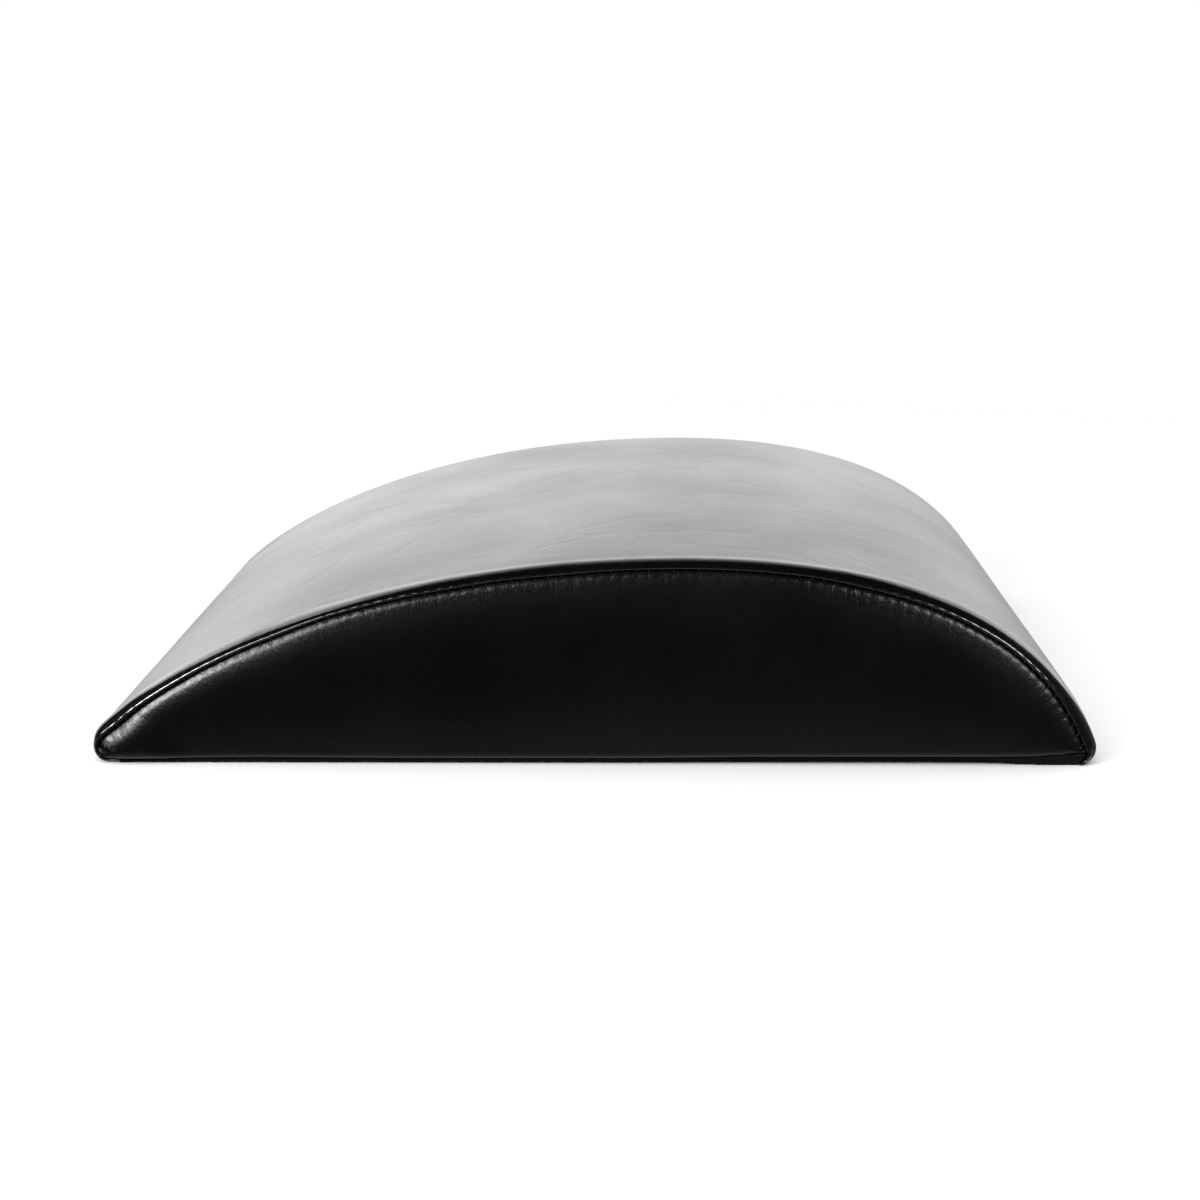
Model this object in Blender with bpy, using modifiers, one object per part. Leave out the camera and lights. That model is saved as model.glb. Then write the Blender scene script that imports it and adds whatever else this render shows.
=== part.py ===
"""Ab mat: a firm foam wedge with an arched back, sewn into a cover of four panels.

X runs from the low left tip to the right tip, Y across the mat from the front end to the back end, and Z
up. The origin is on the floor, in the middle of the mat. Seen from the front end, the back climbs gently
from the left tip to a crest right of the middle and falls steeply to the right tip.

The cover is a top panel that goes round both tips, a base panel that closes the underside, and two
D-shaped end panels. At each seam both panels are turned in, and their plies run side by side into the
mat. The foam has a rebate that makes room for them.
"""

import math

import bmesh
import bpy
import numpy as np

# Overall size
LENGTH = 0.380  # from tip to tip
SEAM_WIDTH = 0.310  # over the rolled edges of the top panel
HEIGHT = 0.0805  # from the floor to the crest, at mid width

# Arch, seen from the front end
CREST_OFFSET = 0.035  # the crest lies this far right of the middle
TIP_NUB = 0.006  # radius by which the leather goes round under each tip
LEFT_TIP_RADIUS = 0.010
LEFT_KNUCKLE_DEGREES = 48  # slope where the left tip's round ends
LEFT_FLANK_EASE = 0.144  # the two pulls of the left flank's curve, as shares of its chord
LEFT_CREST_EASE = 0.528
RIGHT_CREST_EASE = 0.72  # the same for the right flank
RIGHT_FLANK_EASE = 0.118
RIGHT_TIP_DEGREES = 70  # slope where the right flank meets its nub

# Crowns of the filled cover
TOP_CROWN = 0.002  # rise of the back between its two edges
END_CROWN = 0.004  # bulge of an end panel at its tallest place
END_CROWN_POWER = 2.6  # how flat the middle of that bulge is
BASE_LIFT = 0.0022  # the base's long edges are drawn up this far between the corners
BASE_LIFT_REACH = 0.030  # and lie flat again this far in

# Cover
LEATHER = 0.0010
BASE_FABRIC = 0.0011
SEAM_INSET = 0.0030  # from the outer face down to the seam, along an end
FOLD_RADIUS = 0.00025  # inside of a panel's turned edge
END_FOLD_RADIUS = 0.0005  # the same on an end panel, which is fuller
END_SETBACK = 0.0005  # an end panel's edge stands this far behind the rolled edge
SEAM_ALLOWANCE = 0.007  # how far the two plies of an end seam run into the mat
TIP_WRAP = 0.004  # flat leather under a tip, from the nub to the seam with the base
TIP_ALLOWANCE = 0.004  # height of the two plies of that seam
CLEARANCE = 0.0003  # between pieces that touch

# Facets
NUB_STEPS = 3
TIP_STEPS = 3
LEFT_FLANK_STEPS = 10
RIGHT_FLANK_STEPS = 11
FOLD_STEPS = 2
BASE_STEPS = 12
BACK_STEPS = 4  # across the back, between the plies of the end seams
END_SHARES = (0.0, 0.07, 0.22, 0.5, 0.78, 0.93, 1.0)  # up an end panel, from the base to the arch
SHARP_DEGREES = 40  # a steeper edge between faces is drawn sharp
SAME_POINT = 1e-6

# Places that follow from these sizes
HALF = SEAM_WIDTH / 2
NUB_X = LENGTH / 2 - TIP_NUB
SEAM_X = NUB_X - TIP_WRAP
CREST_Z = HEIGHT - TOP_CROWN
COVER = max(LEATHER, BASE_FABRIC)
COVER_TURN = COVER + FOLD_RADIUS
PLY_END = HALF - COVER_TURN - SEAM_ALLOWANCE
BODY_HALF = PLY_END - CLEARANCE
END_INSET = SEAM_INSET + CLEARANCE
END_TURN = LEATHER + END_FOLD_RADIUS
FOAM_INSET = COVER + CLEARANCE
FOAM_END_INSET = END_INSET + LEATHER + CLEARANCE


def direction(degrees):
    return np.array([math.cos(math.radians(degrees)), math.sin(math.radians(degrees))])


def arc(centre, radius, start, stop, steps):
    """Points of an arc with their outward normals, as rows of x, z, normal x and normal z."""
    normals = np.array([direction(angle) for angle in np.linspace(start, stop, steps + 1)])
    return np.hstack([np.array(centre) + radius * normals, normals])


def curve(start, start_pull, end_pull, end, steps):
    """Points of a cubic curve with the normals on its left. A pull is the offset of a handle."""
    first, second = start + start_pull, end + end_pull
    t = np.linspace(0, 1, steps + 1)[:, None]
    s = 1 - t
    points = s**3 * start + 3 * s**2 * t * first + 3 * s * t**2 * second + t**3 * end
    along = s**2 * (first - start) + 2 * s * t * (second - first) + t**2 * (end - second)
    normals = np.hstack([-along[:, 1:], along[:, :1]])
    return np.hstack([points, normals / np.linalg.norm(normals, axis=1, keepdims=True)])


def arch():
    """The outline over the mat at an end seam, from the left tip to the right tip."""
    crest = np.array([CREST_OFFSET, CREST_Z])
    tip_centre = (LEFT_TIP_RADIUS - LENGTH / 2, TIP_NUB)
    tip = arc(tip_centre, LEFT_TIP_RADIUS, 180, 90 + LEFT_KNUCKLE_DEGREES, TIP_STEPS)
    nub = arc((NUB_X, TIP_NUB), TIP_NUB, 90 - RIGHT_TIP_DEGREES, 0, 1)
    knuckle, foot = tip[-1, :2], nub[0, :2]
    left = np.linalg.norm(crest - knuckle)
    right = np.linalg.norm(foot - crest)
    climb = curve(
        knuckle,
        left * LEFT_FLANK_EASE * direction(LEFT_KNUCKLE_DEGREES),
        left * LEFT_CREST_EASE * direction(180),
        crest,
        LEFT_FLANK_STEPS,
    )
    fall = curve(
        crest,
        right * RIGHT_CREST_EASE * direction(0),
        right * RIGHT_FLANK_EASE * direction(180 - RIGHT_TIP_DEGREES),
        foot,
        RIGHT_FLANK_STEPS,
    )
    return np.vstack([tip, climb[1:], fall[1:], nub[1:]])


def base_lift(x, y):
    """How far the underside is drawn up at x, y: most along the middle of each long edge."""
    along = np.clip(1 - (x / NUB_X) ** 4, 0, 1)
    inward = np.clip(1 - (PLY_END - abs(y)) / BASE_LIFT_REACH, 0, 1)
    return BASE_LIFT * along * inward**2 * (3 - 2 * inward)


def back_crown(y):
    """How far the back rises at y above its outline at the ends."""
    return TOP_CROWN * max(0, 1 - (y / HALF) ** 2)


def upper(inset, y):
    """The outline over the mat at y, moved inward by the inset."""
    line = arch()
    rise = back_crown(y) * np.clip(line[:, 3:], 0, 1) ** 2 if abs(y) < PLY_END else 0
    return line[:, :2] + (rise - inset) * line[:, 2:]


def lower(inset, y):
    """The outline under the mat at y, at the same x as each point of the upper one."""
    x = upper(inset, y)[:, 0]
    radius = TIP_NUB - inset
    past = np.clip(abs(x) - NUB_X, 0, radius)
    return np.stack([x, TIP_NUB - np.sqrt(radius**2 - past**2) + base_lift(x, y)], axis=1)


def ring(inset, y):
    """The whole outline at y: from the left tip along the underside, and back over the mat."""
    line = np.vstack([lower(inset, y)[:-1], upper(inset, y)[:0:-1]])
    return [(x, y, z) for x, z in line]


def end_face(inset, edge):
    """Rows of points of the crowned front face, from the base to the arch, past this edge."""
    under, over = lower(inset, edge), upper(inset, edge)
    height = (over - under)[:, 1]
    rows = []
    for share in END_SHARES:
        bulge = END_CROWN * (1 - abs(2 * share - 1) ** END_CROWN_POWER) * height / height.max()
        points = under + share * (over - under)
        rows.append([(x, -edge - out, z) for (x, z), out in zip(points, bulge)])
    return rows


def mirrored(rows):
    """The same rows on the other side of mid width, turned so that their faces still point out."""
    return [[(x, -y, z) for x, y, z in reversed(row)] for row in rows]


def material(name, colour, roughness):
    """A dielectric surface of one colour."""
    made = bpy.data.materials.new(name)
    made.use_nodes = True
    surface = made.node_tree.nodes["Principled BSDF"]
    surface.inputs["Base Color"].default_value = (*colour, 1)
    surface.inputs["Roughness"].default_value = roughness
    surface.inputs["Metallic"].default_value = 0
    made.diffuse_color = (*colour, 1)
    return made


def add_rows(skin, rows, closed=False):
    """Joins rows of points with four-sided faces. A missing point leaves its faces out."""
    made = [[point and skin.verts.new(point) for point in row] for row in rows]
    for row, following in zip(made, made[1:]):
        for i in range(len(row) - (not closed)):
            k = (i + 1) % len(row)
            corners = [row[i], row[k], following[k], following[i]]
            if None not in corners:
                skin.faces.new(corners)


def skin_object(name, skin, surface, collection):
    """An object of this skin, with the points that coincide joined into one."""
    bmesh.ops.remove_doubles(skin, verts=skin.verts, dist=SAME_POINT)
    mesh = bpy.data.meshes.new(name)
    skin.to_mesh(mesh)
    skin.free()
    mesh.materials.append(surface)
    mesh.shade_smooth()
    mesh.set_sharp_from_angle(angle=math.radians(SHARP_DEGREES))
    made = bpy.data.objects.new(name, mesh)
    collection.objects.link(made)
    return made


def thicken(sheet, thickness):
    """Gives an open sheet its thickness, inward from its outer face."""
    solidify = sheet.modifiers.new("thickness", "SOLIDIFY")
    solidify.thickness = thickness
    solidify.offset = -1
    solidify.use_even_offset = True
    solidify.use_quality_normals = True
    return sheet


def rolled_edge(turn):
    """The edge of a wrapping panel, from its ply to its flat: distances from mid width, and depths."""
    roll = SEAM_INSET - turn
    points = [(PLY_END, -SEAM_INSET)]
    for angle in np.linspace(-90, 0, FOLD_STEPS + 1):
        out, up = turn * direction(angle)
        points.append((HALF - turn + out, turn - SEAM_INSET + up))
    for angle in np.linspace(0, 90, FOLD_STEPS + 1)[1:]:
        out, up = roll * direction(angle)
        points.append((HALF - roll + out, up - roll))
    return points


def turned_end(end, inner, turn, has_ply):
    """The points past a short edge of a wrapping panel: it turns up into the mat and ends in a ply.

    Beside the plies of an end seam the panel stays flat, and the last point is missing.
    """
    x, y, z = end
    heading = math.copysign(1, x - inner[0])
    points = []
    for angle in np.linspace(-90, 0, FOLD_STEPS + 1)[1:]:
        out, up = turn * direction(angle)
        points.append((x + heading * out, y, z + (turn + up) * has_ply))
    x, y, z = points[-1]
    return [*points, (x, y, z + TIP_ALLOWANCE) if has_ply else None]


def wrapping_panel(name, columns, body, thickness, surface, collection):
    """A panel that wraps the mat lengthwise, with its long edges rolled into the end seams.

    The columns run along it, as rows of x, z and normal, and the body is the places of its rows between
    the plies of the end seams, across the mat.
    """
    turn = thickness + FOLD_RADIUS
    edge = rolled_edge(turn)
    across = [(-y, depth, False) for y, depth in edge]
    across += [(y, back_crown(y), True) for y in body]
    across += [(y, depth, False) for y, depth in reversed(edge)]
    rows = []
    for y, out, has_ply in across:
        row = []
        for x, z, normal_x, normal_z in columns:
            reach = out * max(0, normal_z) ** 2 if has_ply else out
            lift = base_lift(x, y) if normal_z < 0 else 0
            row.append((x + reach * normal_x, y, z + reach * normal_z + lift))
        start = turned_end(row[0], row[1], turn, has_ply)
        stop = turned_end(row[-1], row[-2], turn, has_ply)
        rows.append([*reversed(start), *row, *stop])
    skin = bmesh.new()
    add_rows(skin, rows)
    return thicken(skin_object(name, skin, surface, collection), thickness)


def make_top_panel(surface, collection):
    """Leather from under the left tip, over the mat, to under the right tip."""
    edge_x = SEAM_X + CLEARANCE / 2 + LEATHER + FOLD_RADIUS
    columns = np.vstack([
        [-edge_x, 0, 0, -1],
        arc((-NUB_X, TIP_NUB), TIP_NUB, -90, -180, NUB_STEPS)[:-1],
        arch(),
        arc((NUB_X, TIP_NUB), TIP_NUB, 0, -90, NUB_STEPS)[1:],
        [edge_x, 0, 0, -1],
    ])
    body = np.linspace(-BODY_HALF, BODY_HALF, BACK_STEPS + 1)
    return wrapping_panel("top_panel", columns, body, LEATHER, surface, collection)


def make_base_panel(surface, collection):
    """Anti-slip fabric under the mat. Its flat middle is what the mat stands on."""
    edge_x = SEAM_X - CLEARANCE / 2 - BASE_FABRIC - FOLD_RADIUS
    columns = [(x, 0, 0, -1) for x in np.linspace(edge_x, -edge_x, BASE_STEPS + 1)]
    inner = PLY_END - BASE_LIFT_REACH
    half_body = [BODY_HALF, (BODY_HALF + inner) / 2, inner]
    body = [-y for y in half_body] + half_body[::-1]
    return wrapping_panel("base_panel", columns, body, BASE_FABRIC, surface, collection)


def make_end_panel(name, is_back, surface, collection):
    """A crowned leather D whose whole edge is turned in, beside the plies of the wrapping panels."""
    edge = HALF - END_SETBACK
    sides = [ring(END_INSET, -PLY_END)]
    for angle in np.linspace(180, 90, FOLD_STEPS + 1):
        inward, out = END_TURN * direction(angle)
        sides.append(ring(END_INSET + END_TURN + inward, END_TURN - edge - out))
    face = end_face(END_INSET + END_TURN, edge)
    if is_back:
        sides, face = mirrored(sides), mirrored(face)
    skin = bmesh.new()
    add_rows(skin, sides, closed=True)
    add_rows(skin, face)
    return thicken(skin_object(name, skin, surface, collection), LEATHER)


def make_box(name, low, high, collection):
    """A cutter between two corners."""
    skin = bmesh.new()
    bmesh.ops.create_cube(skin, size=1)
    low, high = np.array(low), np.array(high)
    bmesh.ops.scale(skin, vec=high - low, verts=skin.verts)
    bmesh.ops.translate(skin, vec=(high + low) / 2, verts=skin.verts)
    mesh = bpy.data.meshes.new(name)
    skin.to_mesh(mesh)
    skin.free()
    made = bpy.data.objects.new(name, mesh)
    made.hide_render = True
    made.display_type = "WIRE"
    collection.objects.link(made)
    return made


def make_foam_core(surface, collection, cutters):
    """The foam, with a crown at each end and rebates for the plies of every seam."""
    edge = HALF - END_SETBACK - LEATHER - 2 * CLEARANCE
    inner = PLY_END - BASE_LIFT_REACH
    half_body = [BODY_HALF, (BODY_HALF + inner) / 2, inner, inner / 2]
    stations = [(FOAM_END_INSET, edge), (FOAM_END_INSET, BODY_HALF)]
    stations += [(FOAM_INSET, y) for y in half_body]
    across = stations + [(FOAM_INSET, 0)] + [(inset, -y) for inset, y in reversed(stations)]
    face = end_face(FOAM_END_INSET, edge)
    skin = bmesh.new()
    add_rows(skin, [ring(inset, y) for inset, y in across], closed=True)
    add_rows(skin, face)
    add_rows(skin, mirrored(face))
    foam = skin_object("foam_core", skin, surface, collection)
    wall = SEAM_X - CLEARANCE / 2 - COVER_TURN - CLEARANCE
    ceiling = COVER_TURN + TIP_ALLOWANCE + CLEARANCE
    past = LENGTH / 2 + TIP_NUB
    for side, near, far in (("left", -past, -wall), ("right", wall, past)):
        low, high = (near, -SEAM_WIDTH, -HEIGHT), (far, SEAM_WIDTH, ceiling)
        rebate = make_box(f"{side}_tip_rebate", low, high, cutters)
        cut = foam.modifiers.new(f"{side} tip rebate", "BOOLEAN")
        cut.object = rebate
        cut.operation = "DIFFERENCE"
        cut.solver = "EXACT"
    return foam


def clear_scene():
    for old in list(bpy.data.objects):
        bpy.data.objects.remove(old, do_unlink=True)


def make_collection(name):
    made = bpy.data.collections.new(name)
    bpy.context.scene.collection.children.link(made)
    return made


def main():
    clear_scene()
    parts = make_collection("ab_mat")
    cutters = make_collection("cutters")
    cutters.hide_render = True
    leather = material("black PU leather", (0.011, 0.011, 0.012), 0.42)
    fabric = material("anti-slip base fabric", (0.018, 0.018, 0.019), 0.9)
    foam = material("firm foam", (0.30, 0.30, 0.29), 0.95)
    mat = bpy.data.objects.new("ab_mat_frame", None)
    parts.objects.link(mat)
    pieces = [
        make_foam_core(foam, parts, cutters),
        make_top_panel(leather, parts),
        make_end_panel("front_end_panel", False, leather, parts),
        make_end_panel("back_end_panel", True, leather, parts),
        make_base_panel(fabric, parts),
    ]
    for piece in pieces:
        piece.parent = mat


main()
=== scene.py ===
"""Looks of an ab mat: a firm foam wedge in a sewn cover of black PU leather with an anti-slip base.

X runs from the low left tip to the steep right tip, Y from the front end to the back end, and Z up. The
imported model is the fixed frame. Each panel of the cover is made here as one turned and sewn sheet, the
thread as its own stitches, and the foam as the wedge that fills the cover.
"""

import logging
import math
from dataclasses import dataclass
from enum import Enum

import bpy
import numpy as np
from mathutils import Matrix, Vector, kdtree, noise


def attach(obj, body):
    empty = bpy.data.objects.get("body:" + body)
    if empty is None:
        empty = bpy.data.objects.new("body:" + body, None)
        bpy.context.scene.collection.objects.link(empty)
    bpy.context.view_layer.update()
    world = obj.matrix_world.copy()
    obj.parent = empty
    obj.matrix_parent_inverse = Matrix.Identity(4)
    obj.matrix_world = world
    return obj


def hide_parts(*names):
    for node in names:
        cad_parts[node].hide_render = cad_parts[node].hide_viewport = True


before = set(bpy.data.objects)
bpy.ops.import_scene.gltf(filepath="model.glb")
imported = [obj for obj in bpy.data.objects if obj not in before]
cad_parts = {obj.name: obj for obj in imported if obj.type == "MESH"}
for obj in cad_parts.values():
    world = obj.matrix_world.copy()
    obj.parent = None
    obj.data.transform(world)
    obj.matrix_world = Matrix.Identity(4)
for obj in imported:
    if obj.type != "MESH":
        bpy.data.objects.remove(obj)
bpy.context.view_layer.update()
LOG = logging.getLogger("ab_mat")
MM = 0.001
BODY = "root"
CUT_PLACE = "cut_place"  # where a point lies on its panel's flat cut, in metres
SEAM_PLACE = "seam_place"  # how far a point is along the nearest seam and from it, in metres
PLY_STOPS = (1.5 * MM, 4.0 * MM)  # where a ply of an end seam has points, from its fold
EASED = {"interpolation_type": "SMOOTHSTEP"}

Pair = tuple[float, float]
Triple = tuple[float, float, float]
Knots = tuple[Pair, ...]


class End(Enum):
    """The two ends of the mat, by the sign of their Y."""

    FRONT = -1
    BACK = 1


class Tip(Enum):
    """The two tips of the mat, by the sign of their X."""

    LEFT = -1
    RIGHT = 1


def direction(degrees: float) -> np.ndarray:
    """Unit vector in the plane of an end, at this angle above X."""
    return np.array([math.cos(math.radians(degrees)), math.sin(math.radians(degrees))])


def arc(centre: Pair, radius: float, start: float, stop: float, steps: int) -> np.ndarray:
    """Points of an arc with their outward normals.

    Args:
        centre: Its centre.
        radius: Its radius.
        start: Angle of its first point, in degrees.
        stop: Angle of its last point, in degrees.
        steps: How many pieces it is cut into.

    Returns:
        Rows of x, z, normal x and normal z.
    """
    normals = np.array([direction(angle) for angle in np.linspace(start, stop, steps + 1)])
    return np.hstack([np.array(centre) + radius * normals, normals])


def curve(
    start: np.ndarray, start_pull: np.ndarray, end_pull: np.ndarray, end: np.ndarray, steps: int
) -> np.ndarray:
    """Points of a cubic curve with the normals on its left.

    Args:
        start: Its first point.
        start_pull: Offset of the first handle from the first point.
        end_pull: Offset of the last handle from the last point.
        end: Its last point.
        steps: How many pieces it is cut into.

    Returns:
        Rows of x, z, normal x and normal z.
    """
    first, second = start + start_pull, end + end_pull
    t = np.linspace(0, 1, steps + 1)[:, None]
    s = 1 - t
    points = s**3 * start + 3 * s**2 * t * first + 3 * s * t**2 * second + t**3 * end
    along = s**2 * (first - start) + 2 * s * t * (second - first) + t**2 * (end - second)
    normals = np.hstack([-along[:, 1:], along[:, :1]])
    return np.hstack([points, normals / np.linalg.norm(normals, axis=1, keepdims=True)])


def smooth(value: np.ndarray | float) -> np.ndarray:
    """Eases a share from 0 to 1, held at both ends."""
    held = np.clip(value, 0, 1)
    return held * held * (3 - 2 * held)


def between(value: np.ndarray, start: float, stop: float) -> np.ndarray:
    """Eases from 0 where the value starts to 1 where it stops."""
    return smooth((value - start) / (stop - start))


def eased(value: np.ndarray, knots: Knots) -> np.ndarray:
    """Goes from knot to knot without a kink.

    Args:
        value: Where to look.
        knots: Pairs of a place and the result there, in order.

    Returns:
        The result at each value.
    """
    places, results = np.array(knots).T
    held = np.clip(value, places[0], places[-1])
    after = np.clip(np.searchsorted(places, held, side="right"), 1, len(places) - 1)
    share = smooth((held - places[after - 1]) / (places[after] - places[after - 1]))
    return results[after - 1] + share * (results[after] - results[after - 1])


def lumps(points: np.ndarray, reach: Triple, seed: float) -> np.ndarray:
    """Smooth random heights, the same ones each run.

    Args:
        points: Rows of three coordinates, in metres.
        reach: Size of a lump along each coordinate, in metres.
        seed: Moves the pattern, so that two patterns differ.

    Returns:
        A height for each point, from about -1 to 1.
    """
    placed = points / np.array(reach) + seed
    return np.array([noise.noise(Vector(p)) for p in placed])


@dataclass(frozen=True)
class Mat:
    """Sizes of the whole mat that its pieces share, in metres.

    An ease is how far a flank's curve is pulled at one end, as a share of its chord. The base's lifts are
    pairs of a place along the mat, as a share of its half, and how far the leather's edge is drawn up there.
    """

    length: float = 0.380
    seam_width: float = 0.310
    height: float = 0.0805
    crest_offset: float = 0.035
    tip_nub: float = 0.006
    left_tip_radius: float = 0.010
    left_knuckle_degrees: float = 48
    left_flank_ease: float = 0.144
    left_crest_ease: float = 0.528
    right_crest_ease: float = 0.72
    right_flank_ease: float = 0.118
    right_tip_degrees: float = 70
    top_crown: float = 0.0020
    base_lift_reach: float = 0.030
    base_lifts_mm: Knots = (
        (-1.0, 0.0), (-0.92, 0.4), (-0.67, 0.75), (-0.38, 1.05), (0.0, 1.45), (0.41, 2.2), (0.60, 2.4),
        (0.72, 2.45), (0.80, 2.3), (0.88, 0.85), (0.93, 0.05), (1.0, 0.0)
    )
    left_wrap: float = 0.004
    right_wrap: float = 0.00135
    ply_length: float = 0.007
    stitch_pitch: float = 0.0047

    @property
    def half(self) -> float:
        """From mid width to the rolled edge of an end."""
        return self.seam_width / 2

    @property
    def nub_x(self) -> float:
        """From the middle to the centre of a tip's round."""
        return self.length / 2 - self.tip_nub

    def seam_x(self, tip: Tip) -> float:
        """Place along the mat of the seam between the leather and the base, under a tip."""
        return tip.value * (self.nub_x - (self.left_wrap if tip is Tip.LEFT else self.right_wrap))

    @property
    def crest(self) -> np.ndarray:
        """The highest point of the arch at an end seam."""
        return np.array([self.crest_offset, self.height - self.top_crown])

    def lift(self, x: np.ndarray, y: float) -> np.ndarray:
        """How far the underside is drawn up, most along the middle of each long edge.

        Args:
            x: Places along the mat.
            y: Place across the mat.

        Returns:
            The lift at each place.
        """
        along = eased(x / self.nub_x, self.base_lifts_mm) * MM
        ply_end = self.half - self.ply_length
        return along * smooth(1 - (ply_end - abs(y)) / self.base_lift_reach)


class Path:
    """A line in the plane of an end, with its normals and the distance run along it."""

    least = 1e-9  # points nearer than this are one

    def __init__(self, rows: np.ndarray, start: float = 0.0) -> None:
        """Keeps the line.

        Args:
            rows: Rows of x, z, normal x and normal z.
            start: The distance that its first point is given.
        """
        steps = np.linalg.norm(np.diff(rows[:, :2], axis=0), axis=1)
        apart = steps > self.least
        self.rows = rows[np.append(True, apart)]
        self.run = start + np.append(0.0, np.cumsum(steps[apart]))

    def at(self, run: np.ndarray) -> np.ndarray:
        """The line at these distances.

        Args:
            run: Distances along it.

        Returns:
            Rows of x, z, normal x and normal z.
        """
        rows = np.stack([np.interp(run, self.run, column) for column in self.rows.T], axis=1)
        rows[:, 2:] /= np.linalg.norm(rows[:, 2:], axis=1, keepdims=True)
        return rows

    def nearest(self, points: np.ndarray) -> np.ndarray:
        """Finds each point's nearest place on the line.

        Args:
            points: Rows of x and z.

        Returns:
            Rows of the distance run and the distance from the line.
        """
        line = self.rows[:, :2]
        tree = kdtree.KDTree(len(line))
        for i, (x, z) in enumerate(line):
            tree.insert((x, z, 0.0), i)
        tree.balance()
        close = np.array([tree.find((x, z, 0.0))[1] for x, z in points])
        found = []
        for before in (close - 1, close):
            i = np.clip(before, 0, len(line) - 2)
            along, off = line[i + 1] - line[i], points - line[i]
            share = np.clip((along * off).sum(axis=1) / (along**2).sum(axis=1), 0, 1)
            gap = np.linalg.norm(off - share[:, None] * along, axis=1)
            found.append(np.stack([self.run[i] + share * (self.run[i + 1] - self.run[i]), gap], axis=1))
        return np.where(found[0][:, 1:] < found[1][:, 1:], found[0], found[1])


class Outline:
    """The lines of the mat seen from its front end: the arch, the leather's way round it, and the base."""

    samples = 900
    turn = 1.35 * MM  # from a tip's seam to where the leather's flat begins to turn up to it

    def __init__(self, mat: Mat) -> None:
        """Draws the lines.

        Args:
            mat: Sizes of the mat.
        """
        self.mat = mat
        tip_centre = (mat.left_tip_radius - mat.length / 2, mat.tip_nub)
        knuckle_angle = 90 + mat.left_knuckle_degrees
        tip = arc(tip_centre, mat.left_tip_radius, 180, knuckle_angle, self.samples // 6)
        nub_centre = (mat.nub_x, mat.tip_nub)
        nub = arc(nub_centre, mat.tip_nub, 90 - mat.right_tip_degrees, 0, self.samples // 12)
        knuckle, foot = tip[-1, :2], nub[0, :2]
        left = np.linalg.norm(mat.crest - knuckle)
        right = np.linalg.norm(foot - mat.crest)
        climb = curve(
            knuckle,
            left * mat.left_flank_ease * direction(mat.left_knuckle_degrees),
            left * mat.left_crest_ease * direction(180),
            mat.crest,
            self.samples,
        )
        fall = curve(
            mat.crest,
            right * mat.right_crest_ease * direction(0),
            right * mat.right_flank_ease * direction(180 - mat.right_tip_degrees),
            foot,
            self.samples,
        )
        self.arch = Path(np.vstack([tip, climb[1:], fall[1:], nub[1:]]))
        under_left = arc((-mat.nub_x, mat.tip_nub), mat.tip_nub, -90, -180, self.samples // 6)
        under_right = arc(nub_centre, mat.tip_nub, 0, -90, self.samples // 6)
        first, last = mat.seam_x(Tip.LEFT) - self.turn, mat.seam_x(Tip.RIGHT) + self.turn
        before = mat.nub_x + first + mat.tip_nub * math.pi / 2
        wrap = [[[first, 0, 0, -1]], under_left, self.arch.rows[1:], under_right[1:], [[last, 0, 0, -1]]]
        self.wrap = Path(np.vstack(wrap), -before)

    def arch_share(self, run: np.ndarray) -> np.ndarray:
        """How far along the arch these distances are, from 0 at the left tip to 1 at the right."""
        return run / self.arch.run[-1]


class Section:
    """The cross-section of a rolled edge, as rows of points with a column for each place along it."""

    def __init__(self, columns: np.ndarray) -> None:
        """Starts on the flat, with as many columns as this array has."""
        self.out, self.deep = [0 * columns], [0 * columns]

    def bend(self, start: np.ndarray, stop: np.ndarray, radius: np.ndarray, steps: int) -> None:
        """Goes on round an arc.

        Args:
            start: Tilt of the face where the arc begins, in radians. It is 0 on the flat.
            stop: Tilt where it ends.
            radius: Its radius.
            steps: How many pieces it is cut into.
        """
        out, deep = self.out[-1], self.deep[-1]
        signed = radius * np.sign(stop - start)
        for share in np.linspace(0, 1, steps + 1)[1:]:
            tilt = start + share * (stop - start)
            self.out.append(out + signed * (np.sin(tilt) - np.sin(start)))
            self.deep.append(deep + signed * (np.cos(start) - np.cos(tilt)))

    def run_down(self, tilt: np.ndarray, length: np.ndarray, steps: int) -> None:
        """Goes straight on.

        Args:
            tilt: Tilt of the face, in radians.
            length: How far.
            steps: How many pieces it is cut into.
        """
        out, deep = self.out[-1], self.deep[-1]
        for share in np.linspace(0, 1, steps + 1)[1:]:
            self.out.append(out + share * length * np.cos(tilt))
            self.deep.append(deep + share * length * np.sin(tilt))

    def close(self, ply_length: float) -> tuple[np.ndarray, np.ndarray]:
        """Adds the ply and sets the outermost row at 0.

        Args:
            ply_length: How far the ply runs back into the mat.

        Returns:
            How far each point stands out, which is 0 or less, and how deep it lies, from the ply's end to
            the flat.
        """
        out, deep = self.out[-1], self.deep[-1]
        for back in (*PLY_STOPS, ply_length):
            self.out.append(out - back)
            self.deep.append(deep)
        outward = np.array(self.out[::-1])
        return outward - outward.max(axis=0), np.array(self.deep[::-1])


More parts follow.
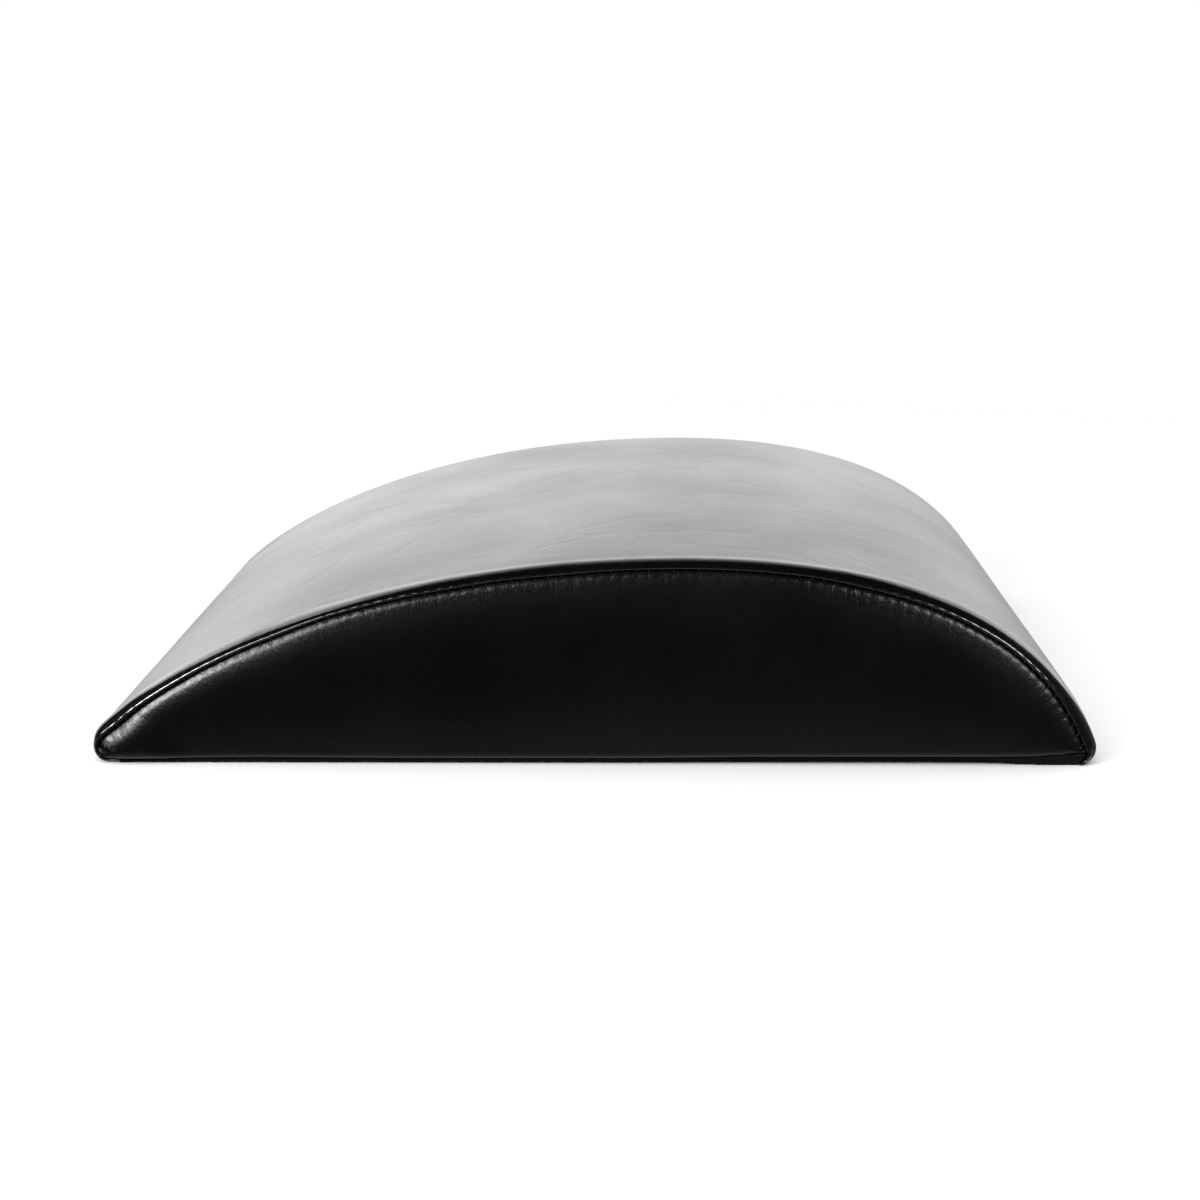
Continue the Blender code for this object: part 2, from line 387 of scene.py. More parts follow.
@dataclass(frozen=True)
class EndSeam:
    """The seam round an end, where the wrapping panels are rolled over and all plies turn in.

    The leather bends off its flat, droops, bends more softly, runs down a bevel to a narrow valley, and rolls
    over a bead. Along the arch each of these changes a little: soft at the left, crisp at the right. Knots
    are pairs of a place and a size there. Places along the arch are shares of its length, and a share past 1
    lies on the nub under the right tip. Places along the base are shares of the mat's half.
    """

    outline: Outline
    droop_degrees: float = 16
    droop_radius: float = 32 * MM
    droop_shares: Knots = (
        (0.0, 0.15), (0.05, 1.0), (0.2, 0.9), (0.36, 0.5), (0.72, 0.5), (0.82, 0.8), (0.92, 1.0), (0.99, 0.15)
    )
    soft_degrees: Knots = (
        (0.0, 32), (0.05, 31), (0.10, 26), (0.86, 26), (0.93, 33), (1.0, 35)
    )
    bead_turn_degrees: float = 76
    bead_radius: float = 0.6 * MM
    bead_top_radii_mm: Knots = (
        (0.0, 1.0), (0.3, 1.2), (0.55, 1.2), (0.8, 2.3), (1.0, 2.0)
    )
    valley_radius: float = 0.35 * MM
    depths_mm: Knots = (
        (-0.015, 1.5), (0.0, 2.15), (0.038, 3.9), (0.095, 3.9), (0.14, 3.65), (0.19, 3.5), (0.254, 2.85),
        (0.319, 2.95), (0.365, 3.25), (0.409, 3.1), (0.46, 3.4), (0.514, 3.1), (0.60, 3.2), (0.671, 3.25),
        (0.743, 3.85), (0.80, 4.05), (0.862, 4.4), (0.911, 4.8), (0.97, 5.1), (1.0, 4.7), (1.011, 3.4),
        (1.022, 1.1)
    )
    soft_radii_mm: Knots = (
        (0.0, 2.0), (0.07, 6.0), (0.3, 5.0), (0.5, 3.4), (0.7, 2.2), (0.84, 1.1), (1.0, 1.0)
    )
    bevel_degrees: Knots = (
        (0.0, 38), (0.05, 37), (0.1, 34), (0.3, 34), (0.55, 40), (0.8, 41), (0.93, 43), (1.0, 43)
    )
    bead_degrees: Knots = ((0.0, 33), (0.3, 28), (0.55, 18), (0.8, 22), (1.0, 38))
    droop_to_depth: float = 9.0  # no curve is larger than this share of the seam's depth
    broad_to_depth: float = 0.3
    tight_to_depth: float = 0.2
    wobble: float = 0.06 * MM
    wobble_reach: float = 21.0 * MM
    wobble_ends: float = 0.1
    base_turn_radius: float = 0.35 * MM
    base_turn_degrees: float = 78
    base_fold_radius: float = 0.35 * MM
    wall_heights_mm: Knots = (
        (-1.0, 0.5), (-0.67, 0.65), (-0.38, 0.2), (0.0, 0.0), (0.70, 0.0), (0.80, 0.1), (0.88, 1.75),
        (0.94, 3.2), (0.99, 3.6)
    )
    gap: float = 0.15 * MM
    tip_rise: Pair = (-9.0 * MM, -2.0 * MM)  # from a tip's centre, where the end panel's edge rises round it
    pinch_reach: float = 0.9 * MM

    def depth(self, run: np.ndarray) -> np.ndarray:
        """How deep the top panel's ply lies under its face.

        Args:
            run: Distances along the arch.

        Returns:
            The depth at each distance.
        """
        share = self.outline.arch_share(run)
        places = np.stack([run, 0 * run, 0 * run], axis=1)
        uneven = self.wobble * lumps(places, (self.wobble_reach, 1, 1), seed=4.4)
        calm = between(share, 0, self.wobble_ends) * between(share, 1, 1 - self.wobble_ends)
        return eased(share, self.depths_mm) * MM + uneven * calm

    def top_section(self, run: np.ndarray) -> tuple[np.ndarray, np.ndarray]:
        """The rolled edge of the top panel, from its ply to its flat.

        Args:
            run: Distances along the leather's way round the arch.

        Returns:
            How far each point stands out past the seam width's half, which is 0 or less, and how deep it
            lies under the panel's face, both as rows across the edge with a column for each distance.
        """
        share, depth = self.outline.arch_share(run), self.depth(run)
        droop, turn = (math.radians(tilt) + 0 * run for tilt in (self.droop_degrees, self.bead_turn_degrees))
        tilts = (self.soft_degrees, self.bevel_degrees, self.bead_degrees)
        soft, bevel, bead = (np.radians(eased(share, knots)) for knots in tilts)
        droop_radius = self.droop_radius * eased(share, self.droop_shares)
        droop_radius = np.minimum(droop_radius, self.droop_to_depth * depth)
        soft_radius = np.minimum(eased(share, self.soft_radii_mm) * MM, depth)
        broad = np.minimum(eased(share, self.bead_top_radii_mm) * MM, self.broad_to_depth * depth)
        tight = np.minimum(self.bead_radius, self.tight_to_depth * depth)
        taken = droop_radius * (1 - np.cos(droop)) + soft_radius * (np.cos(droop) - np.cos(soft))
        taken += self.valley_radius * (np.cos(bead) - np.cos(bevel))
        taken += broad * (np.cos(bead) - np.cos(turn)) + tight * (1 + np.cos(turn))
        radius = np.maximum(depth - taken, 0) / (np.cos(soft) - np.cos(bevel))
        section = Section(run)
        section.bend(0 * run, droop, droop_radius, steps=5)
        section.bend(droop, soft, soft_radius, steps=4)
        section.bend(soft, bevel, radius, steps=3)
        section.bend(bevel, bead, self.valley_radius + 0 * run, steps=3)
        section.bend(bead, turn, broad, steps=6)
        section.bend(turn, math.pi + 0 * run, tight, steps=6)
        return section.close(self.outline.mat.ply_length)

    def wedge(self, x: np.ndarray) -> np.ndarray:
        """Height of the base fabric's upright strip, which widens to a wedge at the right corner."""
        share = x / self.outline.mat.nub_x
        return eased(share, self.wall_heights_mm) * MM

    def base_section(self, x: np.ndarray) -> tuple[np.ndarray, np.ndarray]:
        """The rolled edge of the base panel, from its ply to its flat.

        Args:
            x: Places along the mat.

        Returns:
            How far each point stands out and how deep it lies, as top_section gives them.
        """
        turn = math.radians(self.base_turn_degrees) + 0 * x
        section = Section(x)
        section.bend(0 * x, turn, self.base_turn_radius + 0 * x, steps=6)
        section.run_down(turn, self.wedge(x), steps=3)
        section.bend(turn, math.pi + 0 * x, self.base_fold_radius + 0 * x, steps=7)
        return section.close(self.outline.mat.ply_length)

    def base_depth(self, x: np.ndarray) -> np.ndarray:
        """How deep the base panel's ply lies above its face."""
        return self.base_section(x)[1][0]

    def under_inset(self, x: np.ndarray) -> np.ndarray:
        """From the underside up to the end panel's edge, round the tips as well as along the base.

        Args:
            x: Places along the mat.

        Returns:
            The distance at each place.
        """
        outline, mat = self.outline, self.outline.mat
        tips = np.where(x < 0, self.depth(np.array([-mat.tip_nub])), self.depth(outline.arch.run[-1:]))
        past = between(abs(x) - mat.nub_x, *self.tip_rise)
        return self.gap + self.base_depth(x) * (1 - past) + tips * past

    def pinch(self, run: np.ndarray) -> np.ndarray:
        """How strongly the nearest stitch pulls.

        Args:
            run: Distances along a seam.

        Returns:
            Shares from 0 between two stitches to 1 at one.
        """
        pitch = self.outline.mat.stitch_pitch
        off = (run + pitch / 2) % pitch - pitch / 2
        return np.exp(-((off / self.pinch_reach) ** 2))


class Skin:
    """Points and faces of one open sheet, before it gets its thickness."""

    weld = 2e-7  # points that coincide to within this are joined

    def __init__(self) -> None:
        """Starts with no points."""
        self.points: list[np.ndarray] = []
        self.cut: list[np.ndarray] = []
        self.faces: list[tuple[int, ...]] = []
        self.count = 0

    def add_grid(
        self, points: np.ndarray, cut: np.ndarray, closed: bool = False, there: np.ndarray | None = None
    ) -> None:
        """Adds rows of points joined by four-sided faces.

        Args:
            points: Rows of points, each with three coordinates.
            cut: The place of each point on the flat cut, as two numbers.
            closed: Whether each row's last point joins its first.
            there: Which points are there, if not all. A missing one leaves its faces out.
        """
        rows, columns = points.shape[:2]
        index = self.count + np.arange(rows * columns).reshape(rows, columns)
        there = np.ones((rows, columns), bool) if there is None else there
        last = columns if closed else columns - 1
        for r in range(rows - 1):
            for c in range(last):
                k = (c + 1) % columns
                if there[r, c] and there[r, k] and there[r + 1, k] and there[r + 1, c]:
                    self.faces.append((index[r, c], index[r, k], index[r + 1, k], index[r + 1, c]))
        self.points.append(points.reshape(-1, 3))
        self.cut.append(cut.reshape(-1, 2))
        self.count += rows * columns

    def build(self, name: str, finish: bpy.types.Material) -> bpy.types.Object:
        """Makes the object, with the points that coincide joined into one.

        Args:
            name: Name of the object.
            finish: Its material.

        Returns:
            The new object.
        """
        points, cut = np.vstack(self.points), np.vstack(self.cut)
        cells = np.round(points / self.weld).astype(np.int64)
        _, first, joined = np.unique(cells, axis=0, return_index=True, return_inverse=True)
        faces = []
        for face in self.faces:
            kept = list(dict.fromkeys(int(first[joined.ravel()[i]]) for i in face))
            if len(kept) > 2:
                faces.append(kept)
        used = sorted({i for face in faces for i in face})
        place = {old: new for new, old in enumerate(used)}
        mesh = bpy.data.meshes.new(name)
        mesh.from_pydata(points[used].tolist(), [], [[place[i] for i in face] for face in faces])
        mesh.update()
        flat = np.zeros((len(used), 3), np.float32)
        flat[:, :2] = cut[used]
        mesh.attributes.new(CUT_PLACE, "FLOAT_VECTOR", "POINT").data.foreach_set("vector", flat.ravel())
        mesh.materials.append(finish)
        mesh.shade_smooth()
        made = bpy.data.objects.new(name, mesh)
        bpy.context.scene.collection.objects.link(made)
        return made


def points_of(piece: bpy.types.Object) -> np.ndarray:
    """Reads the points of a piece's own mesh.

    Args:
        piece: The piece.

    Returns:
        Rows of x, y and z.
    """
    found = np.empty(len(piece.data.vertices) * 3, np.float32)
    piece.data.vertices.foreach_get("co", found)
    return found.reshape(-1, 3).astype(float)


def place_points(piece: bpy.types.Object, points: np.ndarray) -> None:
    """Moves the points of a piece's own mesh to these places."""
    piece.data.vertices.foreach_set("co", points.astype(np.float32).ravel())
    piece.data.update()


def write_seam(piece: bpy.types.Object, run: np.ndarray, gap: np.ndarray) -> None:
    """Stores each point's place along the nearest seam and its distance from it.

    Args:
        piece: The piece.
        run: Distances along the seam.
        gap: Distances from it.
    """
    place = np.stack([run, gap, np.zeros(len(run))], axis=1).astype(np.float32)
    made = piece.data.attributes.new(SEAM_PLACE, "FLOAT_VECTOR", "POINT")
    made.data.foreach_set("vector", place.ravel())


def settle(piece: bpy.types.Object) -> bpy.types.Object:
    """Applies a piece's modifiers to its mesh.

    Args:
        piece: The piece.

    Returns:
        The same piece, with its new mesh.
    """
    shown = piece.evaluated_get(bpy.context.evaluated_depsgraph_get())
    made = bpy.data.meshes.new_from_object(shown)
    old = piece.data
    piece.modifiers.clear()
    piece.data = made
    bpy.data.meshes.remove(old)
    made.name = piece.name
    return piece


def thicken(piece: bpy.types.Object, thickness: float) -> bpy.types.Object:
    """Gives an open sheet its thickness, inward from its outer face.

    Args:
        piece: The sheet.
        thickness: Its thickness.

    Returns:
        The same piece, closed.
    """
    solid = piece.modifiers.new("thickness", "SOLIDIFY")
    solid.thickness = thickness
    solid.offset = -1
    solid.use_even_offset = False
    solid.use_quality_normals = True
    return settle(piece)


def show_piece(piece: bpy.types.Object, slot: str | None, *nodes: str) -> bpy.types.Object:
    """Hands a finished piece to the frame.

    Args:
        piece: The piece.
        slot: Not used.
        nodes: The CAD nodes that it stands for.

    Returns:
        The same piece.
    """
    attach(piece, BODY)
    if nodes:
        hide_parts(*nodes)
    LOG.info("%s: %d points, %d faces", piece.name, len(piece.data.vertices), len(piece.data.polygons))
    return piece


@dataclass
class Filling:
    """The swell of the filled cover, from a cloth simulation of the whole cushion under pressure.

    The cushion starts with little crown and is held at its seams and its base. Where it swells, the
    panels follow.
    """

    outline: Outline
    start_inset: float = 1.0 * MM
    loft: tuple[int, int, int] = (161, 63, 17)  # points along the arch, across the mat and up an end
    voxel: float = 5.0 * MM
    pressure: float = 4.0
    cloth_mass: float = 0.4
    cloth_quality: int = 6
    frames: int = 20
    smoothings: int = 6
    most: float = 2.0 * MM  # no point moves further
    held_near: float = 7.0 * MM
    base_hold: Pair = (4.0 * MM, 10.0 * MM)  # heights up to which the base holds the cover, and lets it go
    neighbours: int = 8
    near: float = 2.0 * MM
    tree: kdtree.KDTree | None = None
    moves: np.ndarray | None = None

    def cushion(self) -> bpy.types.Object:
        """Makes the closed cushion that is simulated.

        Returns:
            The cushion, remade of even cells.
        """
        arch, mat = self.outline.arch, self.outline.mat
        along, across, up = self.loft
        rows = arch.at(np.linspace(0, arch.run[-1], along))
        upper = rows[:, :2] - self.start_inset * rows[:, 2:]
        radius = mat.tip_nub - self.start_inset
        past = np.clip(abs(upper[:, 0]) - mat.nub_x, 0, radius)
        lower = np.stack([upper[:, 0], mat.tip_nub - np.sqrt(radius**2 - past**2)], axis=1)
        ring = np.vstack([lower[:-1], upper[:0:-1]])
        skin = Skin()
        loft = np.array([[(x, y, z) for x, z in ring] for y in np.linspace(-mat.half, mat.half, across)])
        skin.add_grid(loft, loft[:, :, :2], closed=True)
        for end in End:
            face = np.array([
                [(x, end.value * mat.half, z) for x, z in lower + share * (upper - lower)]
                for share in np.linspace(0, 1, up)[:: -end.value]
            ])
            skin.add_grid(face, face[:, :, :2])
        made = skin.build("cushion_before_filling", bpy.data.materials.new("plain"))
        remesh = made.modifiers.new("voxels", "REMESH")
        remesh.mode = "VOXEL"
        remesh.voxel_size = self.voxel
        return settle(made)

    def holds(self, points: np.ndarray) -> np.ndarray:
        """How firmly each point is held.

        Args:
            points: Rows of x, y and z.

        Returns:
            Shares from 1 at the seams and the base to 0 in the middle of a panel.
        """
        gap = self.outline.arch.nearest(points[:, [0, 2]])[:, 1]
        from_edge = np.hypot(gap, self.outline.mat.half - abs(points[:, 1]))
        at_seam = 1 - between(from_edge, self.held_near, 2 * self.held_near)
        return np.maximum(at_seam, 1 - between(points[:, 2], *self.base_hold))

    def simulate(self) -> None:
        """Blows the cushion up and keeps how far each of its points moved."""
        cushion = self.cushion()
        before = points_of(cushion)
        group = cushion.vertex_groups.new(name="sewn")
        for i, weight in enumerate(self.holds(before)):
            group.add([i], float(weight), "REPLACE")
        cloth = cushion.modifiers.new("filling", "CLOTH")
        cloth.settings.quality = self.cloth_quality
        cloth.settings.mass = self.cloth_mass
        cloth.settings.use_pressure = True
        cloth.settings.uniform_pressure_force = self.pressure
        cloth.settings.vertex_group_mass = "sewn"
        cloth.settings.effector_weights.gravity = 0
        cloth.point_cache.frame_start, cloth.point_cache.frame_end = 1, self.frames
        scene = bpy.context.scene
        for number in range(1, self.frames + 1):
            scene.frame_set(number)
        settle(cushion)
        scene.frame_set(1)
        moves = self.evened(points_of(cushion) - before, cushion)
        length = np.linalg.norm(moves, axis=1, keepdims=True)
        self.moves = moves * self.most * np.tanh(length / self.most) / np.maximum(length, 1e-12)
        self.tree = kdtree.KDTree(len(before))
        for i, point in enumerate(before):
            self.tree.insert(point, i)
        self.tree.balance()
        LOG.info("filling: moves up to %.2f mm", 1000 * np.linalg.norm(self.moves, axis=1).max())
        bpy.data.objects.remove(cushion)

    def evened(self, moves: np.ndarray, cushion: bpy.types.Object) -> np.ndarray:
        """Takes the small ripples out of the moves.

        Args:
            moves: A move for each point of the cushion.
            cushion: The cushion, whose edges join neighbours.

        Returns:
            The moves, each drawn toward those of its neighbours.
        """
        edges = np.empty(len(cushion.data.edges) * 2, np.int32)
        cushion.data.edges.foreach_get("vertices", edges)
        edges = edges.reshape(-1, 2)
        shares = np.bincount(edges.ravel(), minlength=len(moves))[:, None]
        for _ in range(self.smoothings):
            summed = np.zeros_like(moves)
            np.add.at(summed, edges[:, 0], moves[edges[:, 1]])
            np.add.at(summed, edges[:, 1], moves[edges[:, 0]])
            moves = 0.5 * moves + 0.5 * summed / shares
        return moves

    def swell(self, points: np.ndarray) -> np.ndarray:
        """How far the filled cover moves each of these points.

        Args:
            points: Rows of x, y and z.

        Returns:
            Rows of moves, all zero where the simulation was left out.
        """
        if self.tree is None:
            return np.zeros_like(points)
        moved = np.empty_like(points)
        for row, point in enumerate(points):
            found = self.tree.find_n(point, self.neighbours)
            weights = np.array([1 / (gap + self.near) ** 2 for _, _, gap in found])
            moved[row] = weights @ self.moves[[i for _, i, _ in found]] / weights.sum()
        return moved


@dataclass(kw_only=True)
class Panel:
    """One sheet of the cover, sewn into the end seams."""

    seam: EndSeam
    thickness: float

    @property
    def outline(self) -> Outline:
        """The lines of the mat."""
        return self.seam.outline

    @property
    def mat(self) -> Mat:
        """The sizes of the mat."""
        return self.seam.outline.mat


@dataclass(kw_only=True)
class WrappingPanel(Panel):
    """A panel from tip to tip. Its long edges are rolled, and its short ones turn up into the mat."""

    column_step: float
    body_rows: int
    turn_radius: float
    turn_degrees: Triple = (-60, -30, 0)  # where a turned edge has its points
    tip_ply: float = 4.0 * MM

    def across(self, out: np.ndarray, deep: np.ndarray) -> tuple[np.ndarray, np.ndarray]:
        """Lays rows from the ply at the front end to the ply at the back end.

        Args:
            out: How far each row of a rolled edge stands out past the seam width's half.
            deep: How deep it lies under the panel's face.

        Returns:
            The place across the mat and the depth, as rows across the mat with a column for each place
            along it.
        """
        edge = self.mat.half + out
        body = [edge[-1] * (2 * share - 1) for share in np.linspace(0, 1, self.body_rows + 1)[1:-1]]
        level = [0 * row for row in body]
        return np.array([*(-edge), *body, *edge[::-1]]), np.array([*deep, *level, *deep[::-1]])

    def lay(
        self, grid: np.ndarray, along: np.ndarray, edge_rows: int
    ) -> tuple[np.ndarray, np.ndarray, np.ndarray]:
        """Lays the panel's flat cut and turns its short edges up, each into a ply.

        Args:
            grid: Points of the panel.
            along: Place of each column on the flat cut.
            edge_rows: How many rows are a rolled edge's. They stay flat beside the plies of an end seam.

        Returns:
            The points, their places on the flat cut, and which points are there.
        """
        steps = np.linalg.norm(np.diff(grid, axis=0), axis=2)
        path = np.vstack([np.zeros(grid.shape[1]), np.cumsum(steps, axis=0)])
        path -= path[-1] / 2
        cut = np.stack([np.broadcast_to(along, path.shape), path], axis=2)
        has_ply = np.zeros(len(grid), bool)
        has_ply[edge_rows:-edge_rows] = True
        tips = []
        for column, heading in ((0, 1), (-1, -1)):
            outward = np.sign(along[column] - along[-1 - column])
            points, places = [], []
            for angle in np.radians(self.turn_degrees):
                up = self.turn_radius * (1 + math.sin(angle)) * has_ply
                off = np.full(len(grid), heading * self.turn_radius * math.cos(angle))
                points.append(grid[:, column] + np.stack([off, 0 * up, up], axis=1))
                places.append(cut[:, column] + [outward * self.turn_radius * (angle + math.pi / 2), 0])
            points.append(points[-1] + np.array([0, 0, self.tip_ply]))
            places.append(places[-1] + [outward * self.tip_ply, 0])
            tips.append((np.stack(points, axis=1), np.stack(places, axis=1)))
        grid = np.concatenate([tips[0][0][:, ::-1], grid, tips[1][0]], axis=1)
        cut = np.concatenate([tips[0][1][:, ::-1], cut, tips[1][1]], axis=1)
        there = np.ones(grid.shape[:2], bool)
        there[~has_ply, 0] = there[~has_ply, -1] = False
        return grid, cut, there


@dataclass(kw_only=True)
class TopPanel(WrappingPanel):
    """Leather from under the left tip, over the mat, to under the right tip, its long edges rolled."""

    filling: Filling
    column_step: float = 1.15 * MM
    body_rows: int = 40
    thickness: float = 0.9 * MM
    turn_radius: float = 1.2 * MM
    early_crown: float = 0.6  # share of the crown that the panel has before it is filled
    crown_edge: float = 3.0 * MM
    edge_pull: float = 0.14 * MM  # a stitch draws the rolled edge in by this much
    pull_depth: float = 1.5 * MM
    wave_height: float = 0.06 * MM
    wave_size: Pair = (0.055, 0.013)  # along the leather and across it
    broad_wave_size: Pair = (0.12, 0.05)
    broad_wave: float = 0.6  # height of the broad waves, to that of the narrow ones
    upright: float = 0.5  # share of up in the face's normal, from which the waves are in full
    waves_from: Pair = (4.0 * MM, 18.0 * MM)  # from the edge, where the waves start and are in full
    swell_from: Pair = (3.0 * MM, 11.0 * MM)
    rolls_mm: Knots = ((0.0, 0.0), (0.02, 0.8), (0.05, 1.0), (0.09, 0.35), (0.14, 0.0))
    roll_place: float = 3.9 * MM  # the roll of slack leather beside the left tip, seen from the front end
    roll_reach: float = 3.0 * MM

    def grid(self) -> tuple[np.ndarray, np.ndarray, np.ndarray]:
        """Lays out the panel.

        Returns:
            The points, their places on the flat cut, and which points are there.
        """
        wrap, half = self.outline.wrap, self.mat.half
        run = np.linspace(wrap.run[0], wrap.run[-1], round(np.ptp(wrap.run) / self.column_step) + 1)
        x, z, nx, nz = wrap.at(run).T
        out, deep = self.seam.top_section(run)
        out = out - self.edge_pull * self.seam.pinch(run) * smooth(deep / self.pull_depth)
        y, depth = self.across(out, deep)
        crown = self.early_crown * self.mat.top_crown * np.clip(1 - (y / (half - self.crown_edge)) ** 2, 0, 1)
        roll = np.exp(-(((half - abs(y) - self.roll_place) / self.roll_reach) ** 2)) * (y < 0)
        roll = roll * eased(self.outline.arch_share(run), self.rolls_mm) * MM
        reach = crown * np.clip(nz, 0, 1) ** 2 - depth + roll
        lift = self.mat.lift(x, half) * (nz < 0)
        grid = np.stack([x + reach * nx, y, z + reach * nz + lift], axis=2)
        return self.lay(grid, run, len(out))

    def build(self, finish: bpy.types.Material) -> bpy.types.Object:
        """Makes the panel.

        Args:
            finish: Its material.

        Returns:
            The finished piece.
        """
        grid, cut, there = self.grid()
        skin = Skin()
        skin.add_grid(grid, cut, there=there)
        piece = skin.build("leather_top", finish)
        points = points_of(piece)
        place = np.empty(len(points) * 3, np.float32)
        piece.data.attributes[CUT_PLACE].data.foreach_get("vector", place)
        place = place.reshape(-1, 3)
        normals = self.outline.wrap.at(self.outline.wrap.nearest(points[:, [0, 2]])[:, 0])[:, 2:]
        top = np.clip(normals[:, 1], 0, 1)
        from_edge = self.mat.half - abs(points[:, 1])
        waves = lumps(place, (*self.wave_size, 1.0), seed=3.1)
        waves = waves + self.broad_wave * lumps(place, (*self.broad_wave_size, 1.0), seed=9.7)
        moved = self.filling.swell(points) * (between(from_edge, *self.swell_from) * top)[:, None]
        rise = self.wave_height * waves * between(from_edge, *self.waves_from)
        rise *= between(top, 0, self.upright)
        moved[:, [0, 2]] += rise[:, None] * normals
        place_points(piece, points + moved)
        write_seam(piece, place[:, 0], from_edge)
        thicken(piece, self.thickness)
        show_piece(piece, "leather", "top_panel")
        return piece


@dataclass(kw_only=True)
class EndPanel(Panel):
    """A crowned leather D, its whole edge turned in beside the plies of the wrapping panels.

    Slopes are pairs of a distance from the arch's seam, in millimetres, and how steeply the face rises
    there. Places along the arch are shares of its length.
    """

    end: End
    filling: Filling
    columns: int = 620
    thickness: float = 0.9 * MM
    cut_size: Pair = (0.090, 0.392)  # the rectangle that the flat D is cut from
    recess: float = 2.2 * MM
    base_recess: float = 0.5 * MM
    full_slopes: Knots = (
        (0.0, 1.7), (0.5, 1.1), (0.9, 0.66), (2.0, 0.58), (2.8, 0.42), (3.6, 0.30), (5.0, 0.20), (7.0, 0.12),
        (9.0, 0.06), (13.0, 0.0)
    )
    slim_slopes: Knots = (
        (0.0, 2.4), (0.4, 1.6), (0.7, 0.75), (1.3, 0.55), (1.8, 0.34), (2.6, 0.20), (4.5, 0.14), (8.0, 0.10),
        (14.0, 0.04), (18.0, 0.0)
    )
    tip_slopes: Knots = (
        (0.0, 1.7), (0.5, 1.1), (0.9, 0.75), (2.0, 0.66), (4.4, 0.58), (6.0, 0.3), (8.0, 0.12), (10.0, 0.0)
    )
    slope_steps: int = 400
    slim_from: Pair = (0.12, 0.32)
    tip_until: Pair = (0.025, 0.075)
    tip_puff: float = 1.5
    puff: float = 1.4 * MM
    base_lip: float = 0.88
    base_lip_reach: float = 0.5 * MM
    base_puff_reach: float = 3.0 * MM
    slim_height: float = 14.0 * MM
    crown: float = 1.1 * MM
    crown_power: float = 2.2
    dimples_mm: Knots = ((0.0, 0.2), (0.4, 0.25), (0.6, 0.5), (1.0, 0.5))
    dimple_reach: float = 1.4 * MM
    base_dimple: float = 0.12 * MM
    wrinkle_height: float = 0.06 * MM
    wrinkle_size: Pair = (1.7 * MM, 7.0 * MM)  # along the seam and away from it
    broad_wrinkle: Triple = (3.1, 2.0, 1.1)  # its width, length and height, to the fine one's
    wrinkle_band: Triple = (1.0 * MM, 3.0 * MM, 10.0 * MM)  # in full from, until, gone at
    wrinkles_from: Pair = (3.0 * MM, 11.0 * MM)  # heights of the face
    gathers_from: Pair = (2.0 * MM, 7.0 * MM)
    swell_from: Pair = (2.0 * MM, 10.0 * MM)
    top_gaps_mm: tuple[float, ...] = (
        0, 0.04, 0.12, 0.25, 0.42, 0.62, 0.86, 1.15, 1.5, 1.9, 2.35, 2.85, 3.4, 4.0, 4.7, 5.5, 6.4, 7.4, 8.6,
        10.0
    )
    base_gaps_mm: tuple[float, ...] = (0, 0.03, 0.1, 0.2, 0.35, 0.55, 0.85, 1.3, 2.0, 3.2)
    middle_rows: int = 9
    least_middle: float = 1.5 * MM
    steepest: float = 0.3

    def edges(self) -> tuple[np.ndarray, np.ndarray, np.ndarray]:
        """The panel's edge over the mat and under it, at the same places along the mat.

        Returns:
            The upper points, the lower points, as rows of x and z, and the run along the arch.
        """
        run = np.linspace(0, self.outline.arch.run[-1], self.columns + 1)
        rows = self.outline.arch.at(run)
        inset = (self.seam.depth(run) + self.seam.gap)[:, None]
        upper = rows[:, :2] - inset * rows[:, 2:]
        upper[:, 0] = np.maximum.accumulate(upper[:, 0])
        x = upper[:, 0]
        radius = self.mat.tip_nub - self.seam.under_inset(x)
        past = np.maximum(abs(x) - self.mat.nub_x, 0)
        low = self.mat.tip_nub - np.sqrt(np.maximum(radius**2 - past**2, 0))
        lower = np.stack([x, low + self.mat.lift(x, self.mat.half)], axis=1)
        lower[:, 1] = np.minimum(lower[:, 1], upper[:, 1])
        lower[0], lower[-1] = upper[0], upper[-1]
        return upper, lower, run

    def shares_down(self, upper: np.ndarray, lower: np.ndarray) -> np.ndarray:
        """How far down the face each of its rows lies.

        Args:
            upper: Points of its upper edge, as rows of x and z.
            lower: Points of its lower edge.

        Returns:
            Shares of the way from the upper edge to the lower one, a row for each row of the face.
        """
        height = np.maximum(upper[:, 1] - lower[:, 1], 1e-9)
        along = np.gradient(upper, axis=0)
        steep = abs(along[:, 0]) / np.maximum(np.linalg.norm(along, axis=1), 1e-12)
        top = np.array(self.top_gaps_mm)[:, None] * MM / np.clip(steep, self.steepest, 1)
        base = np.array(self.base_gaps_mm)[:, None] * MM * np.ones_like(height)
        fit = np.clip(height / (top[-1] + base[-1] + self.least_middle), 0, 1)
        top, base = top * fit / height, base * fit / height
        down = np.linspace(0, 1, self.middle_rows + 2)[1:-1, None]
        return np.vstack([top, top[-1] + (1 - base[-1] - top[-1]) * down, 1 - base[::-1]])

    def at_tip(self, arch_run: np.ndarray) -> np.ndarray:
        """From 1 at the left tip, where the filling rounds the whole face, to 0 further along the arch."""
        return 1 - between(self.outline.arch_share(arch_run), *self.tip_until)

